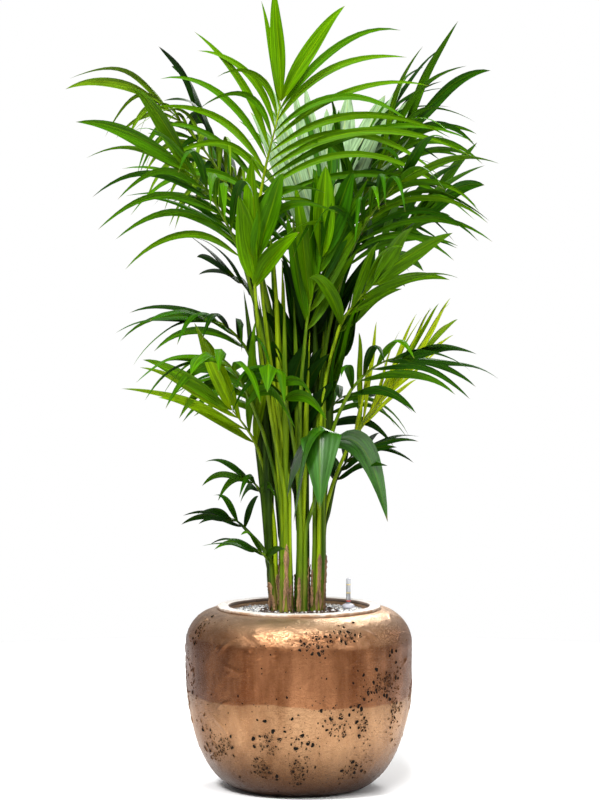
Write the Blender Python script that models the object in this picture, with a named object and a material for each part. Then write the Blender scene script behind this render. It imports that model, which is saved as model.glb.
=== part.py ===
"""Kentia palm standing in a squat bronze planter, as closed solids in metres, Z up.

The origin is the middle of the planter's flat underside. +X is the plant's right
when it is seen from its front, and the front looks along -Y.
"""

import itertools
import math
from dataclasses import dataclass

import bmesh
import bpy
import numpy as np
from mathutils import Matrix, Vector
from mathutils.bvhtree import BVHTree

FULL_TURN = 2.0 * math.pi
CHANCE_WEIGHTS = (12.9898, 78.233, 37.719, 93.989)
CHANCE_SCALE = 43758.5453
SHARP_ANGLE = 40.0
CLEARANCE = 0.0003

# Driving sizes of the planter
PLANTER_HEIGHT = 0.364
PLANTER_RADIUS = 0.230
FOOT_RADIUS = 0.112
BELLY_LOW = 0.240
BELLY_HIGH = 0.292
SHOULDER_RADIUS = 0.166
MOUTH_RADIUS = 0.1425
WALL = 0.012
FLOOR = 0.016
NECK_DEPTH = 0.022
RIM_THICKNESS = 0.006
RIM_EDGE = 0.0015
RIM_INSET = 0.0005
TURNED_SIDES = 36
BOWL_STEPS = 8
SHOULDER_STEPS = 6
CAVITY_STEPS = 6

# Driving sizes of what fills it
SUBSTRATE_TOP = 0.347
FILL_GAP = 3.0 * CLEARANCE
MOUND_TOP = 0.362
MOUND_RADIUS = 0.074
MOUND_SLOPE = 0.010
DRESSING_DEPTH = 0.010
GAUGE_PLACE = (0.101, 0.058)
GAUGE_FOOT_RADIUS = 0.0135
GAUGE_FOOT_EDGE = 0.002
GAUGE_FOOT_HEIGHT = 0.009
GAUGE_RADIUS = 0.0045
GAUGE_CAP = 0.003
GAUGE_HEIGHT = 0.052
GAUGE_SIDES = 16
GAUGE_STEPS = 4

# Driving sizes of the stems, and of the petioles that stand on them
CANE_SIDES = 8
CANE_SHARES = (0.0, 0.2, 0.45, 0.7, 1.0)
CANE_SWELL = 1.08
CANE_EDGE = 0.0006
PETIOLE_RADIUS = 0.0042
CROWN_RADIUS = 0.0032
RIB_END_RADIUS = 0.0020
PETIOLE_SPACE = 0.0016
PETIOLE_SPANS = 5
RIB_SPANS = 5
RIB_SIDES = 4
FOOT_STEPS = 12
SWAY_STEP = 0.006
SWAY_RINGS = 6
SHIFT_STEP = 0.008
SHIFT_RINGS = 4
COMPASS = 8

# Driving sizes of the leaflets
BLADE_STATIONS = (0.0, 0.28, 0.64)
BLADE_WIDTHS = (0.10, 1.0, 0.86)
BLADE_THICKNESS = 0.013
THINNEST_BLADE = 0.0017
ROOT_DEPTH = 0.3
ROOT_FACES = 4
STAGGER = 0.30
SPREAD_CHANCE = 6.0
LIFT = 16.0
LIFT_CHANCE = 9.0
END_LIFT = 8.0
LENGTH_CHANCE = 0.10
DROOP_CHANCE = 0.30
WIDTH_CHANCE = 0.12
BEND = 0.58
EARLY_BEND = 0.2
TEST_MARGIN = 0.0006

# Turn, tilt and length that a leaflet tries in this order until it is clear of the rest
TRIES = (
    (0.0, 0.0, 1.0), (0.0, 0.12, 1.0), (0.0, -0.12, 1.0), (0.10, 0.0, 1.0), (-0.10, 0.0, 1.0),
    (0.0, 0.26, 1.0), (0.0, -0.26, 1.0), (0.12, 0.2, 1.0), (-0.12, -0.2, 1.0), (0.0, 0.0, 0.85),
    (0.0, 0.4, 0.9), (0.0, -0.4, 0.9), (0.15, 0.3, 0.8), (-0.15, -0.3, 0.8), (0.0, 0.0, 0.65),
)


@dataclass(frozen=True)
class Cane:
    """One short stem: where it stands on the mound, and the middle of its top."""

    place: tuple
    top: tuple


@dataclass(frozen=True)
class Frond:
    """One leaf of the palm.

    cane is the stem it stands on. crown is where the first leaflets leave its rib and
    tip is where the rib ends. Each side has pairs leaflets and one more at the tip; leaf
    and width are the size of the longest, and end_leaf, end_width and end_droop the share
    of those and of the droop at the tip. taper is how much shorter the first and the last leaflets are, and sides
    the share of the length on the left and on the right. spread holds the angles between
    rib and leaflets at crown and tip, and roll turns the blade about its rib, all in
    degrees. droop bends the leaflets' ends down, and bow the rib's.
    """

    name: str
    cane: int
    crown: tuple
    tip: tuple
    pairs: int
    leaf: float
    width: float
    droop: float
    spread: tuple
    roll: float = 0.0
    bow: float = 0.0
    taper: tuple = (0.30, 0.34)
    sides: tuple = (1.0, 1.0)
    end_leaf: float = 0.72
    end_width: float = 1.5
    end_droop: float = 0.5


@dataclass
class Leaflet:
    """One leaflet: its root, the frond's directions there, its angles and its size."""

    root: Vector
    way: Vector
    side: Vector
    upper: Vector
    spread: float
    lift: float
    length: float
    width: float
    droop: float


CANES = (
    Cane((-0.047, -0.012), (-0.054, -0.015, 0.452)),
    Cane((-0.027, -0.038), (-0.026, -0.040, 0.492)),
    Cane((-0.026, 0.014), (-0.028, 0.018, 0.505)),
    Cane((0.004, -0.026), (0.006, -0.028, 0.486)),
    Cane((0.006, 0.030), (0.008, 0.036, 0.515)),
    Cane((0.036, -0.012), (0.039, -0.014, 0.498)),
    Cane((0.038, 0.028), (0.043, 0.032, 0.508)),
)

FRONDS = (
    Frond("frond_front_top", cane=1, crown=(-0.077, -0.100, 1.179), tip=(-0.035, -0.150, 1.381), pairs=7,
          leaf=0.43, width=0.018, droop=1, spread=(50, 15), bow=-0.1, taper=(0, 0.42), sides=(1.05, 0.74),
          end_leaf=0.53, end_width=1.75, end_droop=0.3),
    Frond("frond_back_fan", cane=3, crown=(0.035, 0.050, 1.066), tip=(0.068, 0.100, 1.183), pairs=7,
          leaf=0.34, width=0.025, droop=0.15, spread=(30, 8), bow=0.1, taper=(0.1, 0.3)),
    Frond("frond_left_arch", cane=1, crown=(-0.111, -0.100, 1.066), tip=(-0.214, -0.180, 1.246), pairs=5,
          leaf=0.36, width=0.023, droop=1.1, spread=(38, 15), roll=25, bow=0.3, taper=(0, 0.3),
          sides=(1, 0.9)),
    Frond("frond_upper_left", cane=2, crown=(-0.123, 0.000, 1.175), tip=(-0.270, 0.030, 1.382), pairs=7,
          leaf=0.37, width=0.014, droop=1, spread=(40, 15), roll=40, bow=0.2, taper=(0.05, 0.4),
          sides=(1, 0.72)),
    Frond("frond_left_dark", cane=2, crown=(-0.125, 0.070, 1.162), tip=(-0.183, 0.100, 1.347), pairs=4,
          leaf=0.28, width=0.032, droop=1.1, spread=(32, 13), roll=30, bow=0.2, taper=(0.1, 0.3)),
    Frond("frond_right_high", cane=6, crown=(0.079, 0.000, 1.066), tip=(0.201, 0.020, 1.317), pairs=8,
          leaf=0.38, width=0.019, droop=0.6, spread=(38, 13), roll=-40, bow=0.2, taper=(0.1, 0.35)),
    Frond("frond_right_back_high", cane=4, crown=(0.053, 0.100, 1.111), tip=(0.151, 0.150, 1.335), pairs=6,
          leaf=0.34, width=0.024, droop=0.7, spread=(34, 15), roll=-30, bow=0.2, taper=(0.1, 0.3)),
    Frond("frond_right_mid", cane=5, crown=(0.092, -0.060, 1.054), tip=(0.195, -0.150, 1.223), pairs=6,
          leaf=0.32, width=0.018, droop=1.2, spread=(42, 17), roll=-25, bow=0.3, taper=(0.1, 0.3)),
    Frond("frond_right_low", cane=5, crown=(0.132, 0.050, 1.017), tip=(0.235, 0.080, 1.156), pairs=4,
          leaf=0.28, width=0.030, droop=0.7, spread=(46, 17), roll=-45, bow=0.2),
    Frond("frond_right_bright", cane=5, crown=(0.078, -0.060, 0.926), tip=(0.141, -0.110, 1.020), pairs=3,
          leaf=0.28, width=0.028, droop=0.6, spread=(34, 15), roll=-10, bow=0.1),
    Frond("frond_centre_right", cane=3, crown=(0.014, -0.090, 0.930), tip=(0.042, -0.120, 1.074), pairs=4,
          leaf=0.28, width=0.025, droop=0.15, spread=(24, 9), bow=0.1),
    Frond("frond_centre_left", cane=1, crown=(-0.087, -0.120, 1.014), tip=(-0.083, -0.140, 1.066), pairs=1,
          leaf=0.23, width=0.044, droop=0.5, spread=(18, 9), end_leaf=0.98, end_width=1.1),
    Frond("frond_left_back", cane=2, crown=(-0.092, 0.060, 0.988), tip=(-0.131, 0.080, 1.037), pairs=2,
          leaf=0.19, width=0.018, droop=0.6, spread=(46, 20), roll=30, bow=0.2),
    Frond("frond_right_light", cane=6, crown=(0.108, 0.040, 0.704), tip=(0.215, 0.070, 0.845), pairs=7,
          leaf=0.22, width=0.013, droop=0.1, spread=(44, 16), roll=-35, taper=(0.1, 0.3)),
    Frond("frond_right_drooping", cane=5, crown=(0.100, -0.030, 0.800), tip=(0.205, -0.085, 0.876), pairs=4,
          leaf=0.28, width=0.022, droop=1.2, spread=(46, 18), roll=-30, bow=0.5),
    Frond("frond_lower_right", cane=3, crown=(0.054, -0.080, 0.697), tip=(0.042, -0.110, 0.736), pairs=1,
          leaf=0.32, width=0.046, droop=3.2, spread=(68, 20), bow=0.6, taper=(0, 0.3), sides=(1, 0.62),
          end_leaf=0.72, end_width=1.45, end_droop=1.5),
    Frond("frond_lower_right_back", cane=6, crown=(0.073, 0.040, 0.616), tip=(0.119, 0.080, 0.677), pairs=4,
          leaf=0.2, width=0.021, droop=1, spread=(52, 24), bow=0.4),
    Frond("frond_mid_left_high", cane=2, crown=(-0.103, 0.000, 0.884), tip=(-0.186, -0.050, 0.953), pairs=4,
          leaf=0.27, width=0.021, droop=1.2, spread=(50, 22), roll=15, bow=0.5, taper=(0.1, 0.3)),
    Frond("frond_mid_left_low", cane=1, crown=(-0.098, -0.060, 0.790), tip=(-0.171, -0.150, 0.881), pairs=4,
          leaf=0.26, width=0.026, droop=1.7, spread=(54, 24), roll=10, bow=0.6, taper=(0.1, 0.3)),
    Frond("frond_left_light", cane=0, crown=(-0.085, -0.020, 0.693), tip=(-0.134, -0.040, 0.769), pairs=3,
          leaf=0.3, width=0.022, droop=0.5, spread=(34, 18), roll=45, bow=0.1),
    Frond("frond_small_left_high", cane=0, crown=(-0.075, 0.000, 0.595), tip=(-0.103, 0.000, 0.629),
          pairs=2, leaf=0.17, width=0.017, droop=1.4, spread=(50, 24), roll=40, bow=0.3, end_droop=0.8),
    Frond("frond_small_left_mid", cane=0, crown=(-0.109, -0.020, 0.528), tip=(-0.135, -0.030, 0.549),
          pairs=2, leaf=0.15, width=0.016, droop=0.7, spread=(50, 24), roll=30, bow=0.3, end_droop=0.8),
    Frond("frond_small_left_low", cane=0, crown=(-0.066, -0.040, 0.472), tip=(-0.082, -0.046, 0.486),
          pairs=2, leaf=0.17, width=0.018, droop=0.8, spread=(56, 24), bow=0.3, end_droop=0.8),
    Frond("frond_centre_drooping", cane=3, crown=(-0.028, -0.100, 0.793), tip=(-0.057, -0.150, 0.859),
          pairs=3, leaf=0.19, width=0.026, droop=2.2, spread=(56, 24), bow=0.6, end_droop=1),
    Frond("frond_back_left", cane=4, crown=(-0.076, 0.100, 1.039), tip=(-0.157, 0.220, 1.237), pairs=5,
          leaf=0.33, width=0.021, droop=1, spread=(44, 16), bow=0.3, taper=(0.1, 0.34)),
    Frond("frond_back_centre", cane=4, crown=(-0.014, 0.130, 1.059), tip=(0.000, 0.260, 1.270), pairs=6,
          leaf=0.33, width=0.020, droop=0.85, spread=(46, 18), bow=0.3, taper=(0.1, 0.34)),
    Frond("frond_back_right", cane=6, crown=(0.064, 0.130, 1.039), tip=(0.137, 0.250, 1.238), pairs=6,
          leaf=0.33, width=0.021, droop=1, spread=(44, 16), bow=0.3, taper=(0.1, 0.34)),
    Frond("frond_back_low_left", cane=4, crown=(-0.064, 0.100, 0.741), tip=(-0.127, 0.200, 0.830), pairs=4,
          leaf=0.26, width=0.022, droop=1.4, spread=(50, 20), bow=0.5),
    Frond("frond_back_low_right", cane=6, crown=(0.045, 0.100, 0.720), tip=(0.102, 0.200, 0.788), pairs=4,
          leaf=0.26, width=0.022, droop=1.4, spread=(50, 20), bow=0.5),
    Frond("frond_inner_high", cane=4, crown=(-0.002, 0.030, 0.785), tip=(0.030, 0.000, 0.918), pairs=3,
          leaf=0.29, width=0.025, droop=0.25, spread=(27, 13), bow=0.1, taper=(0.1, 0.2)),
    Frond("frond_inner_low", cane=2, crown=(-0.038, 0.000, 0.645), tip=(-0.032, -0.020, 0.747), pairs=2,
          leaf=0.24, width=0.026, droop=0.5, spread=(24, 10), bow=0.1),
    Frond("frond_inner_right", cane=5, crown=(0.046, 0.000, 0.746), tip=(0.079, 0.000, 0.868), pairs=2,
          leaf=0.28, width=0.024, droop=0.3, spread=(24, 10), bow=0.1),
)

YOUNG_FRONDS = ("frond_right_light",)


def clear_scene():
    """Remove every object that a new scene starts with."""
    for item in list(bpy.data.objects):
        bpy.data.objects.remove(item, do_unlink=True)


def plain_material(name, colour, roughness, metallic=0.0):
    """Make a Principled material with one colour, roughness and metallic value."""
    material = bpy.data.materials.new(name)
    material.use_nodes = True
    shader = material.node_tree.nodes["Principled BSDF"]
    shader.inputs["Base Color"].default_value = (*colour, 1.0)
    shader.inputs["Roughness"].default_value = roughness
    shader.inputs["Metallic"].default_value = metallic
    return material


def bronze():
    """Patinated bronze of the planter."""
    return plain_material("bronze", (0.42, 0.24, 0.12), 0.32, 1.0)


def pale_rim():
    """Off-white lip round the mouth."""
    return plain_material("pale_rim", (0.80, 0.77, 0.72), 0.45)


def soil():
    """Dark, moist growing medium."""
    return plain_material("soil", (0.035, 0.022, 0.014), 0.9)


def gravel():
    """White crushed stone."""
    return plain_material("gravel", (0.75, 0.74, 0.70), 0.85)


def gauge_grey():
    """Grey plastic of the gauge's foot."""
    return plain_material("gauge_grey", (0.62, 0.64, 0.66), 0.4)


def gauge_clear():
    """Clear plastic of the gauge's tube."""
    return plain_material("gauge_clear", (0.80, 0.84, 0.86), 0.15)


def sheath():
    """Fibrous olive-brown sheath of a stem."""
    return plain_material("sheath", (0.16, 0.14, 0.035), 0.6)


def leaf_green():
    """Deep green of a grown frond."""
    return plain_material("leaf_green", (0.050, 0.170, 0.012), 0.42)


def leaf_young():
    """Yellow-green of a young frond."""
    return plain_material("leaf_young", (0.300, 0.420, 0.050), 0.45)


def add_object(name, mesh, material):
    """Link a mesh to the scene as one named object with one material."""
    mesh.materials.clear()
    mesh.materials.append(material)
    item = bpy.data.objects.new(name, mesh)
    bpy.context.scene.collection.objects.link(item)
    return item


def mesh_of(name, points, faces):
    """Make a mesh whose faces point outwards."""
    mesh = bpy.data.meshes.new(name)
    mesh.from_pydata([tuple(point) for point in points], [], faces)
    form = bmesh.new()
    form.from_mesh(mesh)
    bmesh.ops.recalc_face_normals(form, faces=form.faces)
    form.to_mesh(mesh)
    form.free()
    return mesh


def smooth(mesh):
    """Shade a round mesh smooth, with its corners left sharp."""
    mesh.shade_smooth()
    mesh.set_sharp_from_angle(angle=math.radians(SHARP_ANGLE))


def quarter_curve(start, end, steps, level_start):
    """Points of a quarter ellipse from start to end, each (radius, height).

    It leaves start level where level_start is true, and upright otherwise.
    """
    points = []
    for step in range(steps + 1):
        angle = 0.5 * math.pi * step / steps
        rise = math.sin(angle)
        fall = 1.0 - math.cos(angle)
        across, up = (rise, fall) if level_start else (fall, rise)
        points.append((start[0] + (end[0] - start[0]) * across, start[1] + (end[1] - start[1]) * up))
    return points


def ring_points(radius, height, sides):
    """The points of one level ring about the Z axis."""
    angles = [FULL_TURN * side / sides for side in range(sides)]
    return [(radius * math.cos(angle), radius * math.sin(angle), height) for angle in angles]


def band_faces(low, high, sides):
    """The faces between two rings, given the number of each ring's first point."""
    return [(low + side, low + (side + 1) % sides, high + (side + 1) % sides, high + side)
            for side in range(sides)]


def turned(name, profile, sides):
    """Turn an open (radius, height) profile, both ends on the axis, into a closed solid."""
    points = [(0.0, 0.0, profile[0][1])]
    for radius, height in profile[1:-1]:
        points += ring_points(radius, height, sides)
    points.append((0.0, 0.0, profile[-1][1]))
    last = len(points) - 1
    top = last - sides
    faces = []
    for low in range(1, top, sides):
        faces += band_faces(low, low + sides, sides)
    for side in range(sides):
        after = (side + 1) % sides
        faces.append((0, 1 + after, 1 + side))
        faces.append((top + side, top + after, last))
    return mesh_of(name, points, faces)


def turned_ring(name, profile, sides):
    """Turn a closed (radius, height) profile that stays off the axis into a ring."""
    points = []
    for radius, height in profile:
        points += ring_points(radius, height, sides)
    faces = []
    for low in range(0, len(points), sides):
        faces += band_faces(low, (low + sides) % len(points), sides)
    return mesh_of(name, points, faces)


def outer_radius(height):
    """Radius of the planter's outside at a height."""
    if height < BELLY_LOW:
        share = 1.0 - height / BELLY_LOW
        return FOOT_RADIUS + (PLANTER_RADIUS - FOOT_RADIUS) * math.sqrt(1.0 - share * share)
    if height > BELLY_HIGH:
        share = (height - BELLY_HIGH) / (PLANTER_HEIGHT - BELLY_HIGH)
        return SHOULDER_RADIUS + (PLANTER_RADIUS - SHOULDER_RADIUS) * math.sqrt(1.0 - share * share)
    return PLANTER_RADIUS


def cavity_profile(side_gap, end_gap):
    """(radius, height) points down the cavity's wall, drawn in by the gaps."""
    top = PLANTER_HEIGHT - NECK_DEPTH - end_gap
    low = FLOOR + end_gap
    points = []
    for step in range(CAVITY_STEPS + 1):
        height = top + (low - top) * step / CAVITY_STEPS
        points.append((outer_radius(height) - WALL - side_gap, height))
    return points


def build_planter():
    """The bronze vessel: a bowl, a straight belly and a round shoulder, hollow inside."""
    shoulder = (SHOULDER_RADIUS, PLANTER_HEIGHT)
    profile = [(0.0, 0.0)]
    profile += quarter_curve((FOOT_RADIUS, 0.0), (PLANTER_RADIUS, BELLY_LOW), BOWL_STEPS, True)
    profile += quarter_curve((PLANTER_RADIUS, BELLY_HIGH), shoulder, SHOULDER_STEPS, False)
    profile += [(MOUTH_RADIUS, PLANTER_HEIGHT), (MOUTH_RADIUS, PLANTER_HEIGHT - NECK_DEPTH)]
    profile += cavity_profile(0.0, 0.0)
    profile.append((0.0, FLOOR))
    mesh = turned("planter", profile, TURNED_SIDES)
    smooth(mesh)
    add_object("planter", mesh, bronze())


def build_rim():
    """The pale flat ring round the mouth, which lies on the planter's shoulder."""
    low = PLANTER_HEIGHT + CLEARANCE
    high = low + RIM_THICKNESS
    outer = SHOULDER_RADIUS - RIM_INSET
    profile = [
        (MOUTH_RADIUS, low),
        (outer, low),
        (outer, high - RIM_EDGE),
        (outer - RIM_EDGE, high),
        (MOUTH_RADIUS + RIM_EDGE, high),
        (MOUTH_RADIUS, high - RIM_EDGE),
    ]
    mesh = turned_ring("planter_rim", profile, TURNED_SIDES)
    smooth(mesh)
    add_object("planter_rim", mesh, pale_rim())


def build_substrate():
    """The growing medium that fills the planter, with a low mound round the stems."""
    wall = cavity_profile(FILL_GAP, CLEARANCE)
    neck = MOUTH_RADIUS - FILL_GAP
    profile = [(0.0, wall[-1][1])] + wall[::-1]
    profile += [(neck, wall[0][1]), (neck, SUBSTRATE_TOP), (MOUND_RADIUS, SUBSTRATE_TOP)]
    profile += [(MOUND_RADIUS - MOUND_SLOPE, MOUND_TOP), (0.0, MOUND_TOP)]
    add_object("substrate", turned("substrate", profile, TURNED_SIDES), soil())


def build_dressing():
    """The level layer of white gravel between the mound and the planter's neck."""
    low = SUBSTRATE_TOP + CLEARANCE
    high = low + DRESSING_DEPTH
    inner = MOUND_RADIUS + CLEARANCE
    outer = MOUTH_RADIUS - FILL_GAP
    profile = [(inner, low), (outer, low), (outer, high), (inner, high)]
    add_object("gravel_dressing", turned_ring("gravel_dressing", profile, TURNED_SIDES), gravel())


def build_gauge_foot(low):
    """The gauge's domed foot, which stands on the gravel."""
    high = low + GAUGE_FOOT_HEIGHT
    profile = [(0.0, low), (GAUGE_FOOT_RADIUS, low)]
    profile += quarter_curve((GAUGE_FOOT_RADIUS, low + GAUGE_FOOT_EDGE), (GAUGE_RADIUS, high), GAUGE_STEPS, False)
    profile.append((0.0, high))
    mesh = turned("gauge_foot", profile, GAUGE_SIDES)
    smooth(mesh)
    return add_object("gauge_foot", mesh, gauge_grey())


def build_gauge_tube(low):
    """The gauge's clear tube with a round top, which stands on the foot."""
    high = low + GAUGE_HEIGHT
    profile = [(0.0, low), (GAUGE_RADIUS, low)]
    profile += quarter_curve((GAUGE_RADIUS, high - GAUGE_CAP), (0.0, high), GAUGE_STEPS, False)
    mesh = turned("gauge_tube", profile, GAUGE_SIDES)
    smooth(mesh)
    return add_object("gauge_tube", mesh, gauge_clear())


def build_gauge():
    """The water gauge that stands in the gravel near the rim."""
    low = SUBSTRATE_TOP + DRESSING_DEPTH + 2.0 * CLEARANCE
    foot = build_gauge_foot(low)
    tube = build_gauge_tube(low + GAUGE_FOOT_HEIGHT + CLEARANCE)
    for item in (foot, tube):
        item.location = (*GAUGE_PLACE, 0.0)


def tube_form(path, radii, sides):
    """Points and faces of a closed tube with a ring at each point of a path."""
    line = np.array([tuple(point) for point in path])
    ways = np.gradient(line, axis=0)
    ways /= np.linalg.norm(ways, axis=1)[:, None]
    first = np.cross(ways, (0.0, 1.0, 0.0))
    first /= np.linalg.norm(first, axis=1)[:, None]
    second = np.cross(ways, first)
    angles = np.arange(sides)[None, :, None] * FULL_TURN / sides
    ring = np.cos(angles) * first[:, None, :] + np.sin(angles) * second[:, None, :]
    corners = (line[:, None, :] + ring * np.array(radii)[:, None, None]).reshape(-1, 3)
    corners[:sides, 2] = line[0, 2]
    last = (len(line) - 1) * sides
    faces = [tuple(range(sides))[::-1], tuple(range(last, last + sides))]
    for low in range(0, last, sides):
        faces += band_faces(low, low + sides, sides)
    return [tuple(corner) for corner in corners], faces


def petiole_ring(number):
    """Radius of the ring on a cane's top that gives each of its petioles its room."""
    mates = sum(frond.cane == number for frond in FRONDS)
    return (2.0 * PETIOLE_RADIUS + PETIOLE_SPACE) / (2.0 * math.sin(math.pi / mates))


def build_canes():
    """The short stems, each a tapered tube from the mound up to its petioles' feet."""
    material = sheath()
    for number, cane in enumerate(CANES):
        low = Vector((*cane.place, MOUND_TOP + CLEARANCE))
        high = Vector(cane.top)
        radius = petiole_ring(number) + PETIOLE_RADIUS + CANE_EDGE
        path = [low.lerp(high, share) for share in CANE_SHARES]
        path[1].xy = low.xy
        path[-2].xy = high.xy
        radii = [radius * (CANE_SWELL + (1.0 - CANE_SWELL) * share) for share in CANE_SHARES]
        points, faces = tube_form(path, radii, CANE_SIDES)
        mesh = mesh_of(f"stem_{number + 1}", points, faces)
        smooth(mesh)
        add_object(f"stem_{number + 1}", mesh, material)


def chance(*numbers):
    """A fixed value from -1 to 1 that looks random, worked out from whole numbers."""
    seed = sum((number + 1.0) * weight for number, weight in zip(numbers, CHANCE_WEIGHTS))
    return 2.0 * math.modf(abs(math.sin(seed)) * CHANCE_SCALE)[0] - 1.0


def smooth_between(start, start_way, end, end_way, share):
    """Point at a share of the smooth curve with the given ends and end directions."""
    turn = share * share * (3.0 - 2.0 * share)
    leave = share * (1.0 - share) ** 2
    arrive = share * share * (share - 1.0)
    return start * (1.0 - turn) + end * turn + start_way * leave + end_way * arrive


def foot_angles(number):
    """The angle of each petiole's foot on a cane's top, by the frond's name.

    The feet are evenly spaced, and each lies as far towards its own lean as it can.
    """
    cane = CANES[number]
    mates = [frond for frond in FRONDS if frond.cane == number]
    leans = []
    for frond in mates:
        rise = frond.crown[2] - cane.top[2]
        leans.append(((frond.crown[0] - cane.top[0]) / rise, (frond.crown[1] - cane.top[1]) / rise))
    best_score = -math.inf
    best_order = None
    for step in range(FOOT_STEPS):
        start = step / FOOT_STEPS
        angles = [FULL_TURN * (start + place) / len(mates) for place in range(len(mates))]
        for order in itertools.permutations(angles):
            score = sum(math.cos(angle) * x + math.sin(angle) * y for angle, (x, y) in zip(order, leans))
            if score > best_score:
                best_score = score
                best_order = order
    return {frond.name: angle for frond, angle in zip(mates, best_order)}


def petiole_foot(frond):
    """Where a frond stands: on its cane's top, on the ring of feet."""
    top = CANES[frond.cane].top
    angle = foot_angles(frond.cane)[frond.name]
    ring = petiole_ring(frond.cane)
    return Vector((top[0] + ring * math.cos(angle), top[1] + ring * math.sin(angle), top[2] + CLEARANCE))


def rib_path(frond, foot, sway, shift):
    """The frond's centre line: its petiole up to the crown and its rib on to the tip.

    sway bends the petiole's middle aside and shift moves the crown.
    """
    crown = Vector(frond.crown) + shift
    tip = Vector(frond.tip)
    rise = crown - foot
    run = tip - crown
    upright = Vector((0.0, 0.0, rise.length))
    lean = (rise.normalized() + run.normalized()).normalized()
    end_way = (run.normalized() - Vector((0.0, 0.0, frond.bow))).normalized()
    path = []
    for step in range(PETIOLE_SPANS):
        share = step / PETIOLE_SPANS
        point = smooth_between(foot, upright, crown, lean * rise.length, share)
        path.append(point + sway * math.sin(math.pi * share))
    for step in range(RIB_SPANS + 1):
        share = step / RIB_SPANS
        path.append(smooth_between(crown, lean * run.length, tip, end_way * run.length, share))
    path[1].xy = 0.5 * (path[1].xy + foot.xy)
    return path


def rib_form(path, spare=0.0):
    """Points and faces of a rib, which thins to the crown and the tip."""
    radii = [PETIOLE_RADIUS + (CROWN_RADIUS - PETIOLE_RADIUS) * step / PETIOLE_SPANS
             for step in range(PETIOLE_SPANS)]
    radii += [CROWN_RADIUS + (RIB_END_RADIUS - CROWN_RADIUS) * step / RIB_SPANS
              for step in range(RIB_SPANS + 1)]
    return tube_form(path, [radius + spare for radius in radii], RIB_SIDES)


def offsets(step, rings):
    """Level offsets on rings of growing radius, the middle first."""
    places = [Vector((0.0, 0.0, 0.0))]
    for ring in range(1, rings + 1):
        for turn in range(COMPASS):
            angle = FULL_TURN * (turn + 0.5 * ring) / COMPASS
            places.append(Vector((step * ring * math.cos(angle), step * ring * math.sin(angle), 0.0)))
    return places


def meets(form, others):
    """Whether a form's faces cross any of the other pieces."""
    shape = BVHTree.FromPolygons(*form)
    return any(shape.overlap(other) for other in others)


def clear_rib(frond, others):
    """The rib's path with the least shift and sway that clears the pieces already placed."""
    foot = petiole_foot(frond)
    for shift in offsets(SHIFT_STEP, SHIFT_RINGS):
        for sway in offsets(SWAY_STEP, SWAY_RINGS):
            path = rib_path(frond, foot, sway, shift)
            if not meets(rib_form(path, 2.0 * TEST_MARGIN), others):
                return path
    raise RuntimeError(f"no clear way for {frond.name}")


def rib_point(path, share):
    """Point and direction at a share of the rib between the crown and the tip."""
    place = PETIOLE_SPANS + share * RIB_SPANS
    low = min(int(place), len(path) - 2)
    point = path[low].lerp(path[low + 1], place - low)
    return point, (path[low + 1] - path[low]).normalized()


def frond_sides(frond, path, way):
    """The frond's side and upper directions where its rib runs along way."""
    lean = path[-1] - path[0]
    level = Vector((lean.y, -lean.x, 0.0)).normalized()
    side = (level - way * level.dot(way)).normalized()
    side.rotate(Matrix.Rotation(math.radians(frond.roll), 3, way))
    return side, side.cross(way).normalized()


def leaflets_of(number, frond, path):
    """The frond's leaflets by rule: pairs along the rib, closer to it towards the tip."""
    leaflets = []
    for pair in range(frond.pairs + 1):
        for hand in (0, 1):
            last = pair == frond.pairs
            share = 1.0 if last else (pair + hand * STAGGER) / frond.pairs
            root, way = rib_point(path, share)
            side, upper = frond_sides(frond, path, way)
            spread = frond.spread[0] + (frond.spread[1] - frond.spread[0]) * share
            lift = END_LIFT
            length = frond.leaf * frond.end_leaf
            width = frond.width * frond.end_width
            if not last:
                spread += SPREAD_CHANCE * chance(number, pair, hand, 1)
                lift = LIFT + LIFT_CHANCE * chance(number, pair, hand, 2)
                shorter = frond.taper[0] * (1.0 - share) ** 3 + frond.taper[1] * share * share
                length = frond.leaf * (1.0 - shorter) * (1.0 + LENGTH_CHANCE * chance(number, pair, hand, 3))
                length *= frond.sides[hand]
                width = frond.width * (1.0 + WIDTH_CHANCE * chance(number, pair, hand, 4))
            outward = side if hand else -side
            droop = frond.droop * (1.0 + DROOP_CHANCE * chance(number, pair, hand, 5))
            droop *= frond.end_droop if last else 1.0
            leaflets.append(Leaflet(root, way, outward, upper, math.radians(spread), math.radians(lift),
                                    length, width, droop))
    return leaflets


def leaflet_line(leaflet, turn=0.0, tilt=0.0, scale=1.0):
    """The three guide points of a leaflet's centre line: straight out, then bending down."""
    lift = leaflet.lift + tilt
    spread = leaflet.spread + turn
    out = leaflet.side * math.cos(lift) + leaflet.upper * math.sin(lift)
    first = leaflet.way * math.cos(spread) + out * math.sin(spread)
    last = (first - Vector((0.0, 0.0, leaflet.droop))).normalized()
    length = leaflet.length * scale
    bend = BEND / (1.0 + EARLY_BEND * leaflet.droop)
    middle = leaflet.root + first * length * bend
    return leaflet.root, middle, middle + last * length * (1.0 - bend)


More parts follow.
